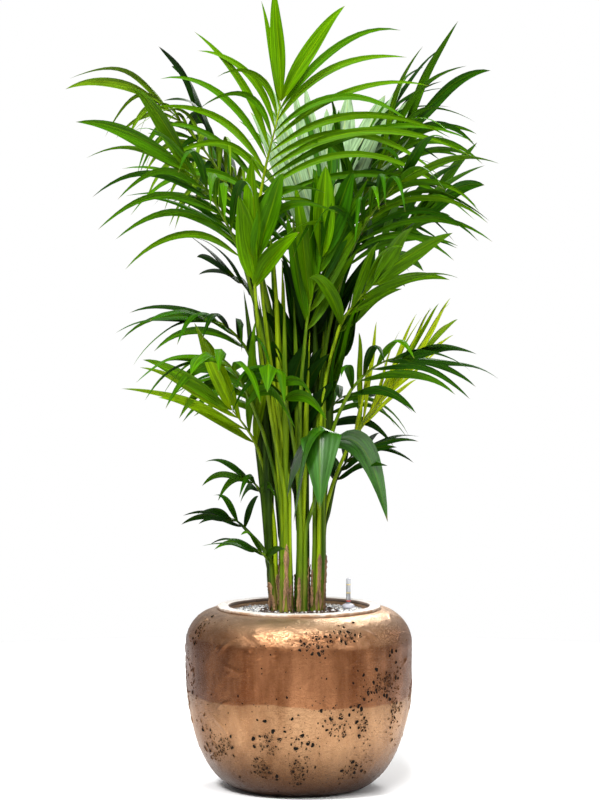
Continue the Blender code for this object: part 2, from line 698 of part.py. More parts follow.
def leaflet_form(leaflet, line, spare=0.0):
    """Points and faces of one thin three-sided leaflet along its centre line."""
    start, middle, end = line
    first = (middle - start).normalized()
    across = first.cross(leaflet.upper).normalized()
    face = across.cross(first)
    thickness = max(BLADE_THICKNESS * leaflet.length, THINNEST_BLADE)
    points = []
    for station, width in zip(BLADE_STATIONS, BLADE_WIDTHS):
        near = start.lerp(middle, station).lerp(middle.lerp(end, station), station)
        heading = (middle - start).lerp(end - middle, station).normalized()
        turn = first.rotation_difference(heading)
        half = turn @ across * (0.5 * leaflet.width * width + spare)
        depth = (ROOT_DEPTH + (1.0 - ROOT_DEPTH) * width) * thickness
        upper = turn @ face
        points.append(near - half + upper * 0.5 * spare)
        points.append(near + half + upper * 0.5 * spare)
        points.append(near - upper * (depth + spare))
    points.append(end + (end - middle).normalized() * spare)
    last = len(points) - 1
    faces = [(0, 2, 1)]
    for low in range(0, last - 3, 3):
        faces += band_faces(low, low + 3, 3)
    for side in range(3):
        faces.append((last - 3 + side, last - 3 + (side + 1) % 3, last))
    return [tuple(point) for point in points], faces


def clear_leaflets(number, frond, path, others):
    """The frond's leaflets, each turned or shortened until it clears the other pieces."""
    forms = []
    own = []
    for leaflet in leaflets_of(number, frond, path):
        for turn, tilt, scale in TRIES:
            line = leaflet_line(leaflet, turn, tilt, scale)
            points, faces = leaflet_form(leaflet, line, TEST_MARGIN)
            blade = (points, faces[ROOT_FACES:])
            if not meets(blade, own) and not meets((points, faces), others):
                forms.append(leaflet_form(leaflet, line))
                own.append(BVHTree.FromPolygons(*blade))
                break
    return forms


def main_body(mesh):
    """Keep only the largest connected piece of a mesh."""
    form = bmesh.new()
    form.from_mesh(mesh)
    seen = set()
    groups = []
    for start in form.verts:
        if start in seen:
            continue
        group = [start]
        seen.add(start)
        for vertex in group:
            near = {edge.other_vert(vertex) for edge in vertex.link_edges} - seen
            seen |= near
            group += near
        groups.append(group)
    groups.sort(key=len)
    scrap = [vertex for group in groups[:-1] for vertex in group]
    bmesh.ops.delete(form, geom=scrap, context="VERTS")
    bmesh.ops.recalc_face_normals(form, faces=form.faces)
    form.to_mesh(mesh)
    form.free()


def join_frond(frond, path, leaflets, material):
    """Fuse the rib and its leaflets into one solid, the frond's object."""
    rib = add_object(frond.name, mesh_of(frond.name, *rib_form(path)), material)
    parts = bpy.data.collections.new(f"{frond.name}_leaflets")
    bpy.context.scene.collection.children.link(parts)
    for form in leaflets:
        parts.objects.link(bpy.data.objects.new("leaflet", mesh_of("leaflet", *form)))
    union = rib.modifiers.new("union", "BOOLEAN")
    union.operation = "UNION"
    union.operand_type = "COLLECTION"
    union.collection = parts
    # The exact solver leaves sealed slivers where thin leaflets meet the rib
    union.solver = "MANIFOLD"
    graph = bpy.context.evaluated_depsgraph_get()
    mesh = bpy.data.meshes.new_from_object(rib.evaluated_get(graph))
    for leaf in list(parts.objects):
        bpy.data.objects.remove(leaf, do_unlink=True)
    bpy.data.collections.remove(parts)
    bpy.data.objects.remove(rib, do_unlink=True)
    main_body(mesh)
    add_object(frond.name, mesh, material)


def tree_of(item):
    """A search tree of an object's faces in world space."""
    corners = [item.matrix_world @ vertex.co for vertex in item.data.vertices]
    return BVHTree.FromPolygons(corners, [tuple(face.vertices) for face in item.data.polygons])


def joined(forms):
    """Several forms' points and faces as one."""
    points = []
    faces = []
    for form_points, form_faces in forms:
        base = len(points)
        points += form_points
        faces += [tuple(base + corner for corner in face) for face in form_faces]
    return points, faces


def build_fronds():
    """Place every rib first, then give each frond its leaflets, clear of all the rest."""
    grown = leaf_green()
    young = leaf_young()
    bpy.context.view_layer.update()
    fixed = [tree_of(item) for item in bpy.context.scene.objects]
    paths = []
    ribs = []
    for frond in FRONDS:
        path = clear_rib(frond, fixed + ribs)
        paths.append(path)
        ribs.append(BVHTree.FromPolygons(*rib_form(path)))
    blades = []
    for number, frond in enumerate(FRONDS):
        others = fixed + ribs[:number] + ribs[number + 1:] + blades
        leaflets = clear_leaflets(number, frond, paths[number], others)
        blades.append(BVHTree.FromPolygons(*joined(leaflets)))
        join_frond(frond, paths[number], leaflets, young if frond.name in YOUNG_FRONDS else grown)


def main():
    """Build the planter, what fills it, the stems and the fronds."""
    clear_scene()
    build_planter()
    build_rim()
    build_substrate()
    build_dressing()
    build_gauge()
    build_canes()
    build_fronds()


main()
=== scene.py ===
# %% [markdown]
# # A kentia palm in a bronze planter
#
# This lesson dresses the imported model of a potted palm. The imported solids are plain
# and few. Here every one of them gets a finer surface in the same place: a pitted
# bronze bowl, loose gravel, stems wrapped in fibre, and fronds whose leaflets are
# folded, veined and arched.
#
# The frame is loaded first. The finished plant has to fill the same box.

import itertools
import math
from dataclasses import dataclass

import bmesh
import bpy
import numpy as np
from mathutils import Matrix, Vector
from mathutils.bvhtree import BVHTree


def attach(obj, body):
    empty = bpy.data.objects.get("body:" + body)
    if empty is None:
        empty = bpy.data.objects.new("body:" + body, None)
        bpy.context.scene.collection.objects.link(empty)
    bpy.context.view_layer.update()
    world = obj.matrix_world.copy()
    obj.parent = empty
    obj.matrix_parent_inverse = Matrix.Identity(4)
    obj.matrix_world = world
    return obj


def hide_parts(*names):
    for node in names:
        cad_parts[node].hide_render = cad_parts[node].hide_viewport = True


FULL_TURN = 2.0 * math.pi

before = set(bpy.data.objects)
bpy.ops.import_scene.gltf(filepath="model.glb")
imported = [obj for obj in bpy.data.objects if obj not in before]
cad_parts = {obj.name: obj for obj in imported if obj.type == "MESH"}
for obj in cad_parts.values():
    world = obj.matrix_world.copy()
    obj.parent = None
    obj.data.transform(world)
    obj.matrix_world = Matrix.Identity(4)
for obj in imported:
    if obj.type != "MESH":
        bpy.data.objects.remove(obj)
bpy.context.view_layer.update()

# %% [markdown]
# ## Surfaces from arrays
#
# A leaf, a stem and a bowl are all the same kind of thing: a grid of points with two
# parameters, one along the piece and one across it. A loop over points would be slow
# for half a million of them, so each shape is worked out as one array with the axes
# (surface, row, column, xyz). One function then turns such an array into a mesh. Its
# UV map holds the two parameters, so veins and fibres can follow the surface.

# %% Turn an array of grids into one mesh
WELD = 1e-6


def grid_faces(count, rows, columns, wrap):
    """Corner numbers of every face of count grids, in rows and columns.

    Face (r, c) joins points (r, c), (r, c + 1), (r + 1, c + 1) and (r + 1, c). Where
    wrap is true the last column is joined to the first one.
    """
    wide = columns if wrap else columns - 1
    row, column = np.meshgrid(np.arange(rows - 1), np.arange(wide), indexing="ij")
    after = (column + 1) % columns
    corners = np.stack([row * columns + column, row * columns + after,
                        (row + 1) * columns + after, (row + 1) * columns + column], -1)
    starts = np.arange(count)[:, None, None] * rows * columns
    return (starts + corners.reshape(-1, 4)).reshape(-1, 4), row.ravel(), column.ravel()


def grid_uv(count, rows, columns, wrap):
    """UV of every face corner: the share across the grid, and the share along it."""
    _, row, column = grid_faces(1, rows, columns, wrap)
    wide = columns if wrap else columns - 1
    across = np.stack([column, column + 1, column + 1, column], -1) / wide
    along = np.stack([row, row, row + 1, row + 1], -1) / (rows - 1)
    return np.tile(np.stack([across, along], -1).reshape(-1, 2), (count, 1))


def show(name, mesh):
    """Put a mesh into the scene as a piece that rides the root."""
    piece = bpy.data.objects.new(name, mesh)
    bpy.context.scene.collection.objects.link(piece)
    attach(piece, "root")
    return piece


def add_piece(name, points, materials, wrap=False, picks=None, turn_over=False):
    """Make grids of points, shaped (count, rows, columns, 3), into one smooth mesh.

    picks holds the number of each grid's material. Points that fall together, as at
    a pole or a pointed tip, are welded, so that nothing is left open there.
    """
    count, rows, columns, _ = points.shape
    faces, _, _ = grid_faces(count, rows, columns, wrap)
    uv = grid_uv(count, rows, columns, wrap)
    if turn_over:
        faces = faces[:, ::-1]
        uv = uv.reshape(-1, 4, 2)[:, ::-1].reshape(-1, 2)
    mesh = bpy.data.meshes.new(name)
    mesh.vertices.add(count * rows * columns)
    mesh.vertices.foreach_set("co", points.astype(np.float32).ravel())
    mesh.loops.add(faces.size)
    mesh.loops.foreach_set("vertex_index", faces.astype(np.int32).ravel())
    mesh.polygons.add(len(faces))
    mesh.polygons.foreach_set("loop_start", np.arange(len(faces), dtype=np.int32) * 4)
    mesh.uv_layers.new(name="UVMap").data.foreach_set("uv", uv.astype(np.float32).ravel())
    for material in materials:
        mesh.materials.append(material)
    if picks is not None:
        mesh.polygons.foreach_set("material_index", np.repeat(picks, len(faces) // count).astype(np.int32))
    mesh.update(calc_edges=True)
    form = bmesh.new()
    form.from_mesh(mesh)
    bmesh.ops.remove_doubles(form, verts=form.verts, dist=WELD)
    form.to_mesh(mesh)
    form.free()
    mesh.shade_smooth()
    return show(name, mesh)


def unit(vectors):
    """Vectors of length one along the last axis."""
    return vectors / np.linalg.norm(vectors, axis=-1, keepdims=True)


def steps_round(sides):
    """Angles of a number of even steps round a full turn."""
    return np.arange(sides) / sides * FULL_TURN


def turned(radius, angle, height, middle=(0.0, 0.0)):
    """Points at radii, angles and heights round an upright axis at a middle."""
    x, y = middle[0] + radius * np.cos(angle), middle[1] + radius * np.sin(angle)
    return np.stack(np.broadcast_arrays(x, y, height), -1)


def turned_profile(profile, sides, middle=(0.0, 0.0)):
    """A ring at each (radius, height) of a profile, round an upright axis at a middle."""
    profile = np.array(profile)
    return turned(profile[:, :1], steps_round(sides), profile[:, 1:], middle)


print("one grid of 3 by 4 points has", len(grid_faces(1, 3, 4, False)[0]), "faces")

# %% [markdown]
# ## Finishes as short recipes
#
# A finish is a Principled shader with a few pattern nodes in front of it. The class
# below only shortens the writing: each method adds a node or two and returns the output.
# Patterns read the object's own coordinates, or the UV map where they follow a
# surface, so they stay put when the view changes.

# %% A small recipe book for materials
class Finish:
    """A material in the making. Each method adds a node and gives back its output."""

    def __init__(self, name, roughness, metallic=0.0, **constants):
        self.material = bpy.data.materials.new(name)
        self.material.use_nodes = True
        self.tree = self.material.node_tree
        self.shader = self.tree.nodes["Principled BSDF"]
        self.shader.inputs["Roughness"].default_value = roughness
        self.shader.inputs["Metallic"].default_value = metallic
        for socket, value in constants.items():
            self.shader.inputs[socket.replace("_", " ")].default_value = value
        coordinates = self.tree.nodes.new("ShaderNodeTexCoord")
        self.place = coordinates.outputs["Object"]
        self.uv = coordinates.outputs["UV"]

    def add(self, kind, inputs, output=0, **options):
        """Add a node, set its options, and fill or link its inputs by name or number."""
        node = self.tree.nodes.new(kind)
        for option, value in options.items():
            setattr(node, option, value)
        for socket, value in inputs.items():
            if isinstance(value, bpy.types.NodeSocket):
                self.tree.links.new(value, node.inputs[socket])
            else:
                node.inputs[socket].default_value = value
        return node.outputs[output]

    def stretch(self, place, scale):
        """Coordinates multiplied by a scale for each axis."""
        return self.add("ShaderNodeMapping", {"Vector": place, "Scale": scale})

    def noise(self, scale, detail=3.0, place=None, roughness=0.5):
        """Cloudy noise from 0 to 1."""
        return self.add("ShaderNodeTexNoise", {"Vector": place or self.place, "Scale": scale,
                                               "Detail": detail, "Roughness": roughness})

    def math(self, operation, first, second=0.0):
        """One sum on one or two values."""
        return self.add("ShaderNodeMath", {0: first, 1: second}, operation=operation)

    def times(self, first, second):
        """The product of two values."""
        return self.math("MULTIPLY", first, second)

    def plus(self, first, second):
        """The sum of two values."""
        return self.math("ADD", first, second)

    def rest(self, value):
        """What a value lacks to 1."""
        return self.math("SUBTRACT", 1.0, value)

    def between(self, value, low, high):
        """0 below low, 1 above high, and a smooth rise in between."""
        return self.add("ShaderNodeMapRange", {"Value": value, "From Min": low, "From Max": high},
                        interpolation_type="SMOOTHSTEP")

    def axis(self, place, letter):
        """One coordinate of a place."""
        return self.add("ShaderNodeSeparateXYZ", {0: place}, output="XYZ".index(letter))

    def from_axis(self):
        """Distance from the plant's upright axis."""
        flat = self.stretch(self.place, (1.0, 1.0, 0.0))
        return self.add("ShaderNodeVectorMath", {0: flat}, output="Value", operation="LENGTH")

    def mix(self, share, first, second):
        """A colour between two colours."""
        first = (*first, 1.0) if isinstance(first, tuple) else first
        second = (*second, 1.0) if isinstance(second, tuple) else second
        return self.add("ShaderNodeMix", {0: share, 6: first, 7: second}, output=2, data_type="RGBA")

    def set(self, socket, value):
        """Link a pattern to one of the shader's inputs."""
        self.tree.links.new(value, self.shader.inputs[socket])

    def rough(self, pattern, least, change):
        """Let the roughness follow a pattern upwards from its least value."""
        self.set("Roughness", self.plus(self.times(pattern, change), least))

    def bump(self, height, distance, strength=1.0):
        """Tilt the surface's shading by a height pattern."""
        self.set("Normal", self.add("ShaderNodeBump", {"Height": height, "Distance": distance,
                                                       "Strength": strength}))


print("a finish starts from the sockets", [s.name for s in Finish("trial", 0.5).shader.inputs][:4])
bpy.data.materials.remove(bpy.data.materials["trial"])

# %% [markdown]
# ## The bronze bowl
#
# The planter is a squat bowl with a round shoulder, cast by hand: its wall is never
# quite even, a few folds stand out near the shoulder, and the bronze coat has dark
# pits in clusters. Turning a profile gives a perfect bowl, which looks like plastic.
# So the profile is turned on a fine grid, and every point is pushed along the wall's
# own direction by a relief: slow waves, and some raised folds with seeded places.
#
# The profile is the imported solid's: a quarter ellipse up from the foot, a straight
# belly, and a quarter ellipse in to the shoulder.

# %% Profile of the planter, by the share of its height
PLANTER_HEIGHT = 0.364
PLANTER_RADIUS = 0.230
FOOT_RADIUS = 0.112
BELLY_LOW = 0.240
BELLY_HIGH = 0.292
SHOULDER_RADIUS = 0.166
MOUTH_RADIUS = 0.1425
FLOOR = 0.016
NECK_DEPTH = 0.022
OUTSIDE_STEPS = 130
TURNED_SIDES = 480


def quarter(start, end, shares, level_start):
    """Points on a quarter ellipse: one axis goes by the sine, the other by 1 - cosine."""
    rise = np.sin(0.5 * np.pi * shares)
    fall = 1.0 - np.cos(0.5 * np.pi * shares)
    across, up = (rise, fall) if level_start else (fall, rise)
    start, end = np.array(start), np.array(end)
    return start + (end - start) * np.stack([across, up], -1)


def outer_profile(steps):
    """(radius, height) from the foot to the shoulder, evenly spaced along the wall."""
    fine = np.linspace(0.0, 1.0, 400)
    line = np.concatenate([
        quarter((FOOT_RADIUS, 0.0), (PLANTER_RADIUS, BELLY_LOW), fine, True),
        quarter((PLANTER_RADIUS, BELLY_HIGH), (SHOULDER_RADIUS, PLANTER_HEIGHT), fine, False)])
    run = np.concatenate([[0.0], np.cumsum(np.linalg.norm(np.diff(line, axis=0), axis=1))])
    at = np.linspace(0.0, run[-1], steps)
    return np.stack([np.interp(at, run, line[:, 0]), np.interp(at, run, line[:, 1])], -1)


WALL_LINE = outer_profile(OUTSIDE_STEPS)
WALL_LENGTH = np.linalg.norm(np.diff(WALL_LINE, axis=0), axis=1).sum()
print("the wall is", round(WALL_LENGTH, 3), "m long from foot to shoulder")

# %% [markdown]
# The relief is a height over the wall, a function of the angle round the bowl and the
# share of the way up the wall. Waves round the bowl need whole numbers of turns, or
# the surface would break where the first column meets the last. The folds are narrow
# bells, longer than wide and turned by a seeded angle. The relief fades out at the
# foot, which has to stand flat, and at the shoulder, where the rim lies.

# %% Relief of the wall
SEED = 23
WAVES = ((0.0007, 2.0, 5.0, 1.1), (0.0005, 5.0, -9.0, 0.0),
         (0.0003, 11.0, 17.0, 0.0), (0.0002, 23.0, -31.0, 0.0))
FOLDS = 46
FOLD_LEVEL = (0.80, 0.10)
FOLD_LIMITS = (0.45, 0.93)
FOLD_LEAN = (-0.7, 0.7)
FOLD_LONG = (0.006, 0.032)
FOLD_WIDE = (0.0020, 0.0048)
FOLD_HIGH = (0.0006, 0.0034)
FOLD_BEND = 6.0
FADE_AT_FOOT = 0.06
FADE_AT_SHOULDER = 0.05

dice = np.random.default_rng(SEED)
folds = np.stack([dice.uniform(0.0, FULL_TURN, FOLDS),
                  np.clip(dice.normal(*FOLD_LEVEL, FOLDS), *FOLD_LIMITS),
                  dice.uniform(*FOLD_LEAN, FOLDS), dice.uniform(*FOLD_LONG, FOLDS),
                  dice.uniform(*FOLD_WIDE, FOLDS), dice.uniform(*FOLD_HIGH, FOLDS)], 1)


def relief(angle, share):
    """Height of the wall's relief, in metres: slow waves plus raised folds.

    A wave is a sine of the angle and the share. A fold is a bell in its own two
    directions, exp(-(along / long)^2 - (aside / wide)^2), bent by its length.
    """
    height = sum(high * np.sin(turns_round * angle + turns_up * share + start)
                 for high, turns_round, turns_up, start in WAVES)
    for middle, level, lean, long, wide, high in folds:
        x = ((angle - middle + np.pi) % FULL_TURN - np.pi) * PLANTER_RADIUS
        y = (share - level) * WALL_LENGTH
        along = x * math.cos(lean) + y * math.sin(lean)
        aside = y * math.cos(lean) - x * math.sin(lean) + FOLD_BEND * along * along
        height = height + high * np.exp(-(along / long) ** 2 - (aside / wide) ** 2)
    fade = np.clip(share / FADE_AT_FOOT, 0.0, 1.0) * np.clip((1.0 - share) / FADE_AT_SHOULDER, 0.0, 1.0)
    return height * fade


def wall_point(angle, share, lift=0.0):
    """Point on the finished wall: the turned profile, pushed out by relief and lift."""
    place = np.clip(share, 0.0, 1.0) * (OUTSIDE_STEPS - 1)
    steps = np.arange(OUTSIDE_STEPS)
    slope = np.gradient(WALL_LINE, axis=0)
    out = unit(np.stack([slope[:, 1], -slope[:, 0]], -1))
    radius, height = (np.interp(place, steps, WALL_LINE[:, n]) for n in (0, 1))
    out_level, out_up = (np.interp(place, steps, out[:, n]) for n in (0, 1))
    push = relief(angle, share) + lift
    radius = radius + out_level * push
    return turned(radius, angle, height + out_up * push)


highest = relief(np.linspace(0.0, FULL_TURN, 800)[:, None], np.linspace(0.0, 1.0, 300)[None]).max()
print("the relief reaches", round(1000 * float(highest), 2), "mm")

# %% [markdown]
# Bronze paint over a fibre body is metal to the light, so the shader is metallic. Its
# colour has a place: a dark copper band runs round the belly with a wavy edge above
# and below, a painted reflection of the darker surroundings; the shoulder is paler at
# its top with a painted highlight; the foot and the left and right sides are darker
# with painted shade. The edges come from the height plus some noise. Fine vertical
# wiping marks, and roughness that changes from spot to spot, keep the reflections from
# looking like chrome.

# %% Where the bronze has which colour
# Heights and colours of the dark band round the belly, a painted reflection of the darker surroundings.
REFLECTION_BAND_LOW = 0.194
REFLECTION_BAND_HIGH = 0.310
LOWER_DARK, LOWER_LIGHT = (0.235, 0.115, 0.052), (0.44, 0.250, 0.128)
SHOULDER_DARK, SHOULDER_LIGHT = (0.230, 0.100, 0.044), (0.46, 0.25, 0.13)
REFLECTION_BAND_DARK, REFLECTION_BAND_LIGHT = (0.110, 0.036, 0.012), (0.35, 0.155, 0.070)
FOOT_SHADE = (0.050, 0.019, 0.007)
# Paler colour for the top of the shoulder: a painted highlight of the light from above.
SHOULDER_HIGHLIGHT = (0.60, 0.40, 0.24)
# Colour of the painted shade on the bowl's left and right sides.
SIDE_SHADE = (0.060, 0.022, 0.009)
SPOT = (0.03, 0.02, 0.015)


def bronze_colour(f, wiped, cloud):
    """Painted reflection band, painted highlight on the shoulder, and painted shade at the foot and on the
    sides, by place.
    """
    height, side = f.axis(f.place, "Z"), f.axis(f.place, "X")
    wave = f.noise(4.0, 4.0, f.stretch(f.place, (1.0, 1.0, 0.4)), 0.6)
    level = f.plus(height, f.times(f.math("SUBTRACT", wave, 0.5), 0.045))
    # Mask of the band with wavy edges: painted reflection of the darker surroundings.
    band = f.times(f.between(level, REFLECTION_BAND_LOW - 0.002, REFLECTION_BAND_LOW + 0.003),
                   f.rest(f.between(level, REFLECTION_BAND_HIGH - 0.004, REFLECTION_BAND_HIGH + 0.007)))
    lower = f.mix(f.between(wiped, 0.3, 0.72), LOWER_DARK, LOWER_LIGHT)
    # Darker towards the foot: painted shade under the belly.
    lower = f.mix(f.rest(f.between(height, 0.0, 0.155)), lower, FOOT_SHADE)
    shoulder = f.mix(f.between(cloud, 0.3, 0.75), SHOULDER_DARK, SHOULDER_LIGHT)
    # Top of the shoulder made paler: painted highlight.
    shoulder = f.mix(f.times(f.between(height, 0.325, 0.360), 0.70), shoulder, SHOULDER_HIGHLIGHT)
    plain = f.mix(f.between(height, 0.22, 0.29), lower, shoulder)
    reflection_band_colour = f.mix(f.between(wiped, 0.28, 0.75), REFLECTION_BAND_DARK, REFLECTION_BAND_LIGHT)
    # Left and right sides of the bowl darkened: painted shade.
    edge = f.math("MAXIMUM", f.rest(f.between(side, -0.185, -0.045)),
                  f.times(f.between(side, 0.10, 0.215), 0.8))
    side_shade = f.times(f.times(edge, f.between(height, 0.15, 0.21)), f.between(cloud, 0.2, 0.7))
    return f.mix(f.times(side_shade, 0.75), f.mix(band, plain, reflection_band_colour), SIDE_SHADE)


def bronze_finish():
    """Metal with a painted reflection band, wiping marks, small specks and a fine uneven skin."""
    f = Finish("bronze_coat", 0.45, 1.0, Coat_Weight=0.04, Coat_Roughness=0.28)
    wiped = f.noise(9.0, 6.0, f.stretch(f.place, (1.6, 1.6, 0.35)), 0.62)
    cloud = f.noise(22.0, 5.0, None, 0.6)
    speck = f.add("ShaderNodeTexVoronoi", {"Vector": f.place, "Scale": 130.0, "Randomness": 1.0})
    patches = f.between(f.noise(16.0, 2.0), 0.56, 0.66)
    spots = f.times(f.rest(f.between(speck, 0.10, 0.20)), patches)
    f.set("Base Color", f.mix(spots, bronze_colour(f, wiped, cloud), SPOT))
    f.rough(cloud, 0.24, 0.26)
    scratch = f.noise(70.0, 4.0, f.stretch(f.place, (1.0, 1.0, 5.0)), 0.7)
    lines = f.rest(f.math("ABSOLUTE", f.math("SUBTRACT", scratch, 0.5)))
    skin = f.plus(f.times(f.noise(170.0, 5.0, None, 0.65), 0.8), f.times(wiped, 0.6))
    skin = f.plus(skin, f.times(f.between(lines, 0.975, 1.0), -0.35))
    f.bump(f.math("SUBTRACT", skin, f.times(spots, 1.5)), 0.0016, 0.8)
    return f.material


bronze = bronze_finish()
print("bronze nodes:", len(bronze.node_tree.nodes))

# %% The bowl, from the middle of its underside round to its inner floor
NECK_LOW = PLANTER_HEIGHT - NECK_DEPTH
UNDERSIDE = ((0.0, 0.0), (0.06, 0.0), (0.104, 0.0))
MOUTH = ((0.160, PLANTER_HEIGHT), (0.150, PLANTER_HEIGHT), (0.1435, PLANTER_HEIGHT),
         (MOUTH_RADIUS, PLANTER_HEIGHT - 0.001), (MOUTH_RADIUS, 0.357), (MOUTH_RADIUS, 0.350),
         (MOUTH_RADIUS, NECK_LOW), (0.190, NECK_LOW), (0.212, 0.30), (0.217, 0.24),
         (0.19, 0.12), (0.13, 0.03), (0.10, FLOOR), (0.0, FLOOR))
outside = wall_point(steps_round(TURNED_SIDES)[None], np.linspace(0.0, 1.0, OUTSIDE_STEPS)[:, None])
bowl_points = np.concatenate([turned_profile(UNDERSIDE, TURNED_SIDES), outside,
                              turned_profile(MOUTH, TURNED_SIDES)])[None]
planter = add_piece("planter_bowl", bowl_points, [bronze], wrap=True)
print("bowl faces:", len(planter.data.polygons))

# %% [markdown]
# ## Pits in the bronze
#
# A pit is a small crater: a lip of bronze stands up round a hole into the dark
# body. Cutting two thousand holes into the bowl would need a very fine mesh. Each pit
# is a tiny dish laid on the wall instead, with the same formula as the wall, so that
# it lies on every wave and fold. Its near-black middle is the dark body with painted
# shade of the hole's depth. Their places are drawn by seeded dice: some in
# patches, some in long columns, and a few anywhere. Small ones are far more common.

# %% Draw the places of the pits
PIT_CLUSTERS = 44
PITS_IN_CLUSTER = (26, 64)
CLUSTER_TALL = (0.35, 2.3)
CLUSTER_SPREAD = (0.010, 0.021)
CLUSTER_HEIGHT = (0.16, 0.86)
CLUSTER_LEAN = 0.25
CLUSTER_LEAP = 7.0
LOOSE_PITS = 300
LOOSE_HEIGHT = (0.08, 0.95)
LOWEST_PIT, HIGHEST_PIT = 0.07, 0.95
SMALLEST_PIT, LARGEST_PIT = 0.0007, 0.0048
COMMON_MORE, LOOSE_MORE = 0.0014, 0.00060


def pit_places():
    """Angle, share up the wall and radius of every pit, as three arrays."""
    angle, share, size = [], [], []
    for number in range(PIT_CLUSTERS):
        count = dice.integers(*PITS_IN_CLUSTER)
        tall = dice.uniform(*CLUSTER_TALL)
        spread = dice.uniform(*CLUSTER_SPREAD)
        middle = FULL_TURN * (number + dice.uniform(0.1, 0.9)) / PIT_CLUSTERS * CLUSTER_LEAP
        height = dice.uniform(*CLUSTER_HEIGHT)
        lean = dice.normal(0.0, CLUSTER_LEAN)
        up = dice.normal(0.0, spread * tall, count)
        aside = dice.normal(0.0, spread / math.sqrt(tall), count) + lean * up
        angle.append(middle + aside / PLANTER_RADIUS)
        share.append(height + up / WALL_LENGTH)
        size.append(SMALLEST_PIT + dice.exponential(COMMON_MORE, count))
    angle.append(dice.uniform(0.0, FULL_TURN, LOOSE_PITS))
    share.append(dice.uniform(*LOOSE_HEIGHT, LOOSE_PITS))
    size.append(SMALLEST_PIT + dice.exponential(LOOSE_MORE, LOOSE_PITS))
    angle, share, size = (np.concatenate(values) for values in (angle, share, size))
    keep = (share > LOWEST_PIT) & (share < HIGHEST_PIT)
    return angle[keep] % FULL_TURN, share[keep], np.minimum(size[keep], LARGEST_PIT)


pit_angle, pit_share, pit_size = pit_places()
print("pits:", len(pit_size), "widest:", round(2000 * float(pit_size.max()), 1), "mm")

# %% Lay a small dish on the wall for each pit
PIT_SIDES = 10
LIP_RINGS = ((1.50, -0.0003), (1.20, 0.00046), (0.98, 0.00030))
HOLE_RINGS = ((0.98, 0.00030), (0.90, 0.00006), (0.45, 0.00005), (0.0, 0.00005))
MIDDLING_PIT = 0.0015


def pit_dishes(rings):
    """Rings round each pit's middle at (share of its radius, height over the wall).

    The outline is uneven: the radius changes with two and three waves round the pit.
    """
    turn = steps_round(PIT_SIDES)
    first, second = dice_turns[:, :1], dice_turns[:, 1:]
    uneven = 1.0 + 0.22 * np.sin(2.0 * turn + first) + 0.13 * np.sin(3.0 * turn + second)
    higher = 0.5 + 0.5 * pit_size[:, None] / MIDDLING_PIT
    parts = []
    for width, lift in rings:
        reach = pit_size[:, None] * width * uneven
        angle = pit_angle[:, None] + reach * np.cos(turn) / PLANTER_RADIUS
        share = pit_share[:, None] + reach * np.sin(turn) / WALL_LENGTH
        parts.append(wall_point(angle, share, lift * higher))
    return np.stack(parts, 1)


def pit_finish():
    """The dark body inside a pit, near black with painted shade of the hole's depth."""
    f = Finish("pit_dark", 0.90, Specular_IOR_Level=0.08)
    grain = f.noise(400.0, 3.0)
    # Near black: the dark body, with painted shade of the hole's depth.
    f.set("Base Color", f.mix(grain, (0.0015, 0.0013, 0.0012), (0.010, 0.008, 0.006)))
    f.bump(grain, 0.0008, 0.6)
    return f.material


dice_turns = dice.uniform(0.0, FULL_TURN, (len(pit_size), 2))
lips = add_piece("planter_pit_lips", pit_dishes(LIP_RINGS), [bronze], wrap=True, turn_over=True)
holes = add_piece("planter_pits", pit_dishes(HOLE_RINGS), [pit_finish()], wrap=True, turn_over=True)
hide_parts("planter")
print("dishes:", len(lips.data.polygons) + len(holes.data.polygons), "faces")

# %% [markdown]
# ## The pale rim
#
# A flat ring lies on the shoulder round the mouth. It is one
# closed profile turned once round, with soft edges. A real cast ring is a little
# uneven, so its top rises and falls by a fraction of a millimetre. Its finish is a
# satin off-white, a painted highlight of the light on the lip, bronze-brown towards
# its outer edge, with a few small chips. The wall of its mouth is dark brown, as the
# photograph shows.

# %% Turn the rim
RIM_LOW = 0.3643
RIM_HIGH = 0.3703
RIM_INNER = 0.1425
RIM_OUTER = 0.1655
RIM_SOFT = 0.0013
RIM_SIDES = 240
RIM_WAVES = ((7.0, 0.0), (12.0, 1.0), (31.0, 0.0))
RIM_UNEVEN = 0.00025
RIM_HIGHLIGHT_PALE, RIM_HIGHLIGHT_DULL = (0.66, 0.635, 0.595), (0.54, 0.49, 0.43)
RIM_EDGE_BRONZE = (0.36, 0.23, 0.14)
INNER_WALL = (0.17, 0.10, 0.060)
CHIPPED = (0.10, 0.075, 0.055)


def rim_points():
    """A closed profile of rounded corners turned round the axis, with an uneven top."""
    corner = np.linspace(0.0, 0.5 * np.pi, 5)
    over, along = RIM_SOFT * np.sin(corner), RIM_SOFT * np.cos(corner)
    soft_top = RIM_HIGH - RIM_SOFT
    outer = np.stack([RIM_OUTER - RIM_SOFT + along, soft_top + over], -1)
    inner = np.stack([RIM_INNER + RIM_SOFT - over, soft_top + along], -1)
    profile = np.concatenate([[(RIM_INNER, RIM_LOW), (RIM_OUTER, RIM_LOW)], outer, inner,
                              [(RIM_INNER, RIM_LOW)]])
    turn = steps_round(RIM_SIDES)
    uneven = RIM_UNEVEN * sum(np.sin(waves * turn + start) for waves, start in RIM_WAVES)
    top = profile[:, 1:] > RIM_LOW + 0.001
    radius = profile[:, :1] + top * 0.8 * uneven
    return turned(radius, turn, profile[:, 1:] + top * np.minimum(uneven, 0.0))[None]


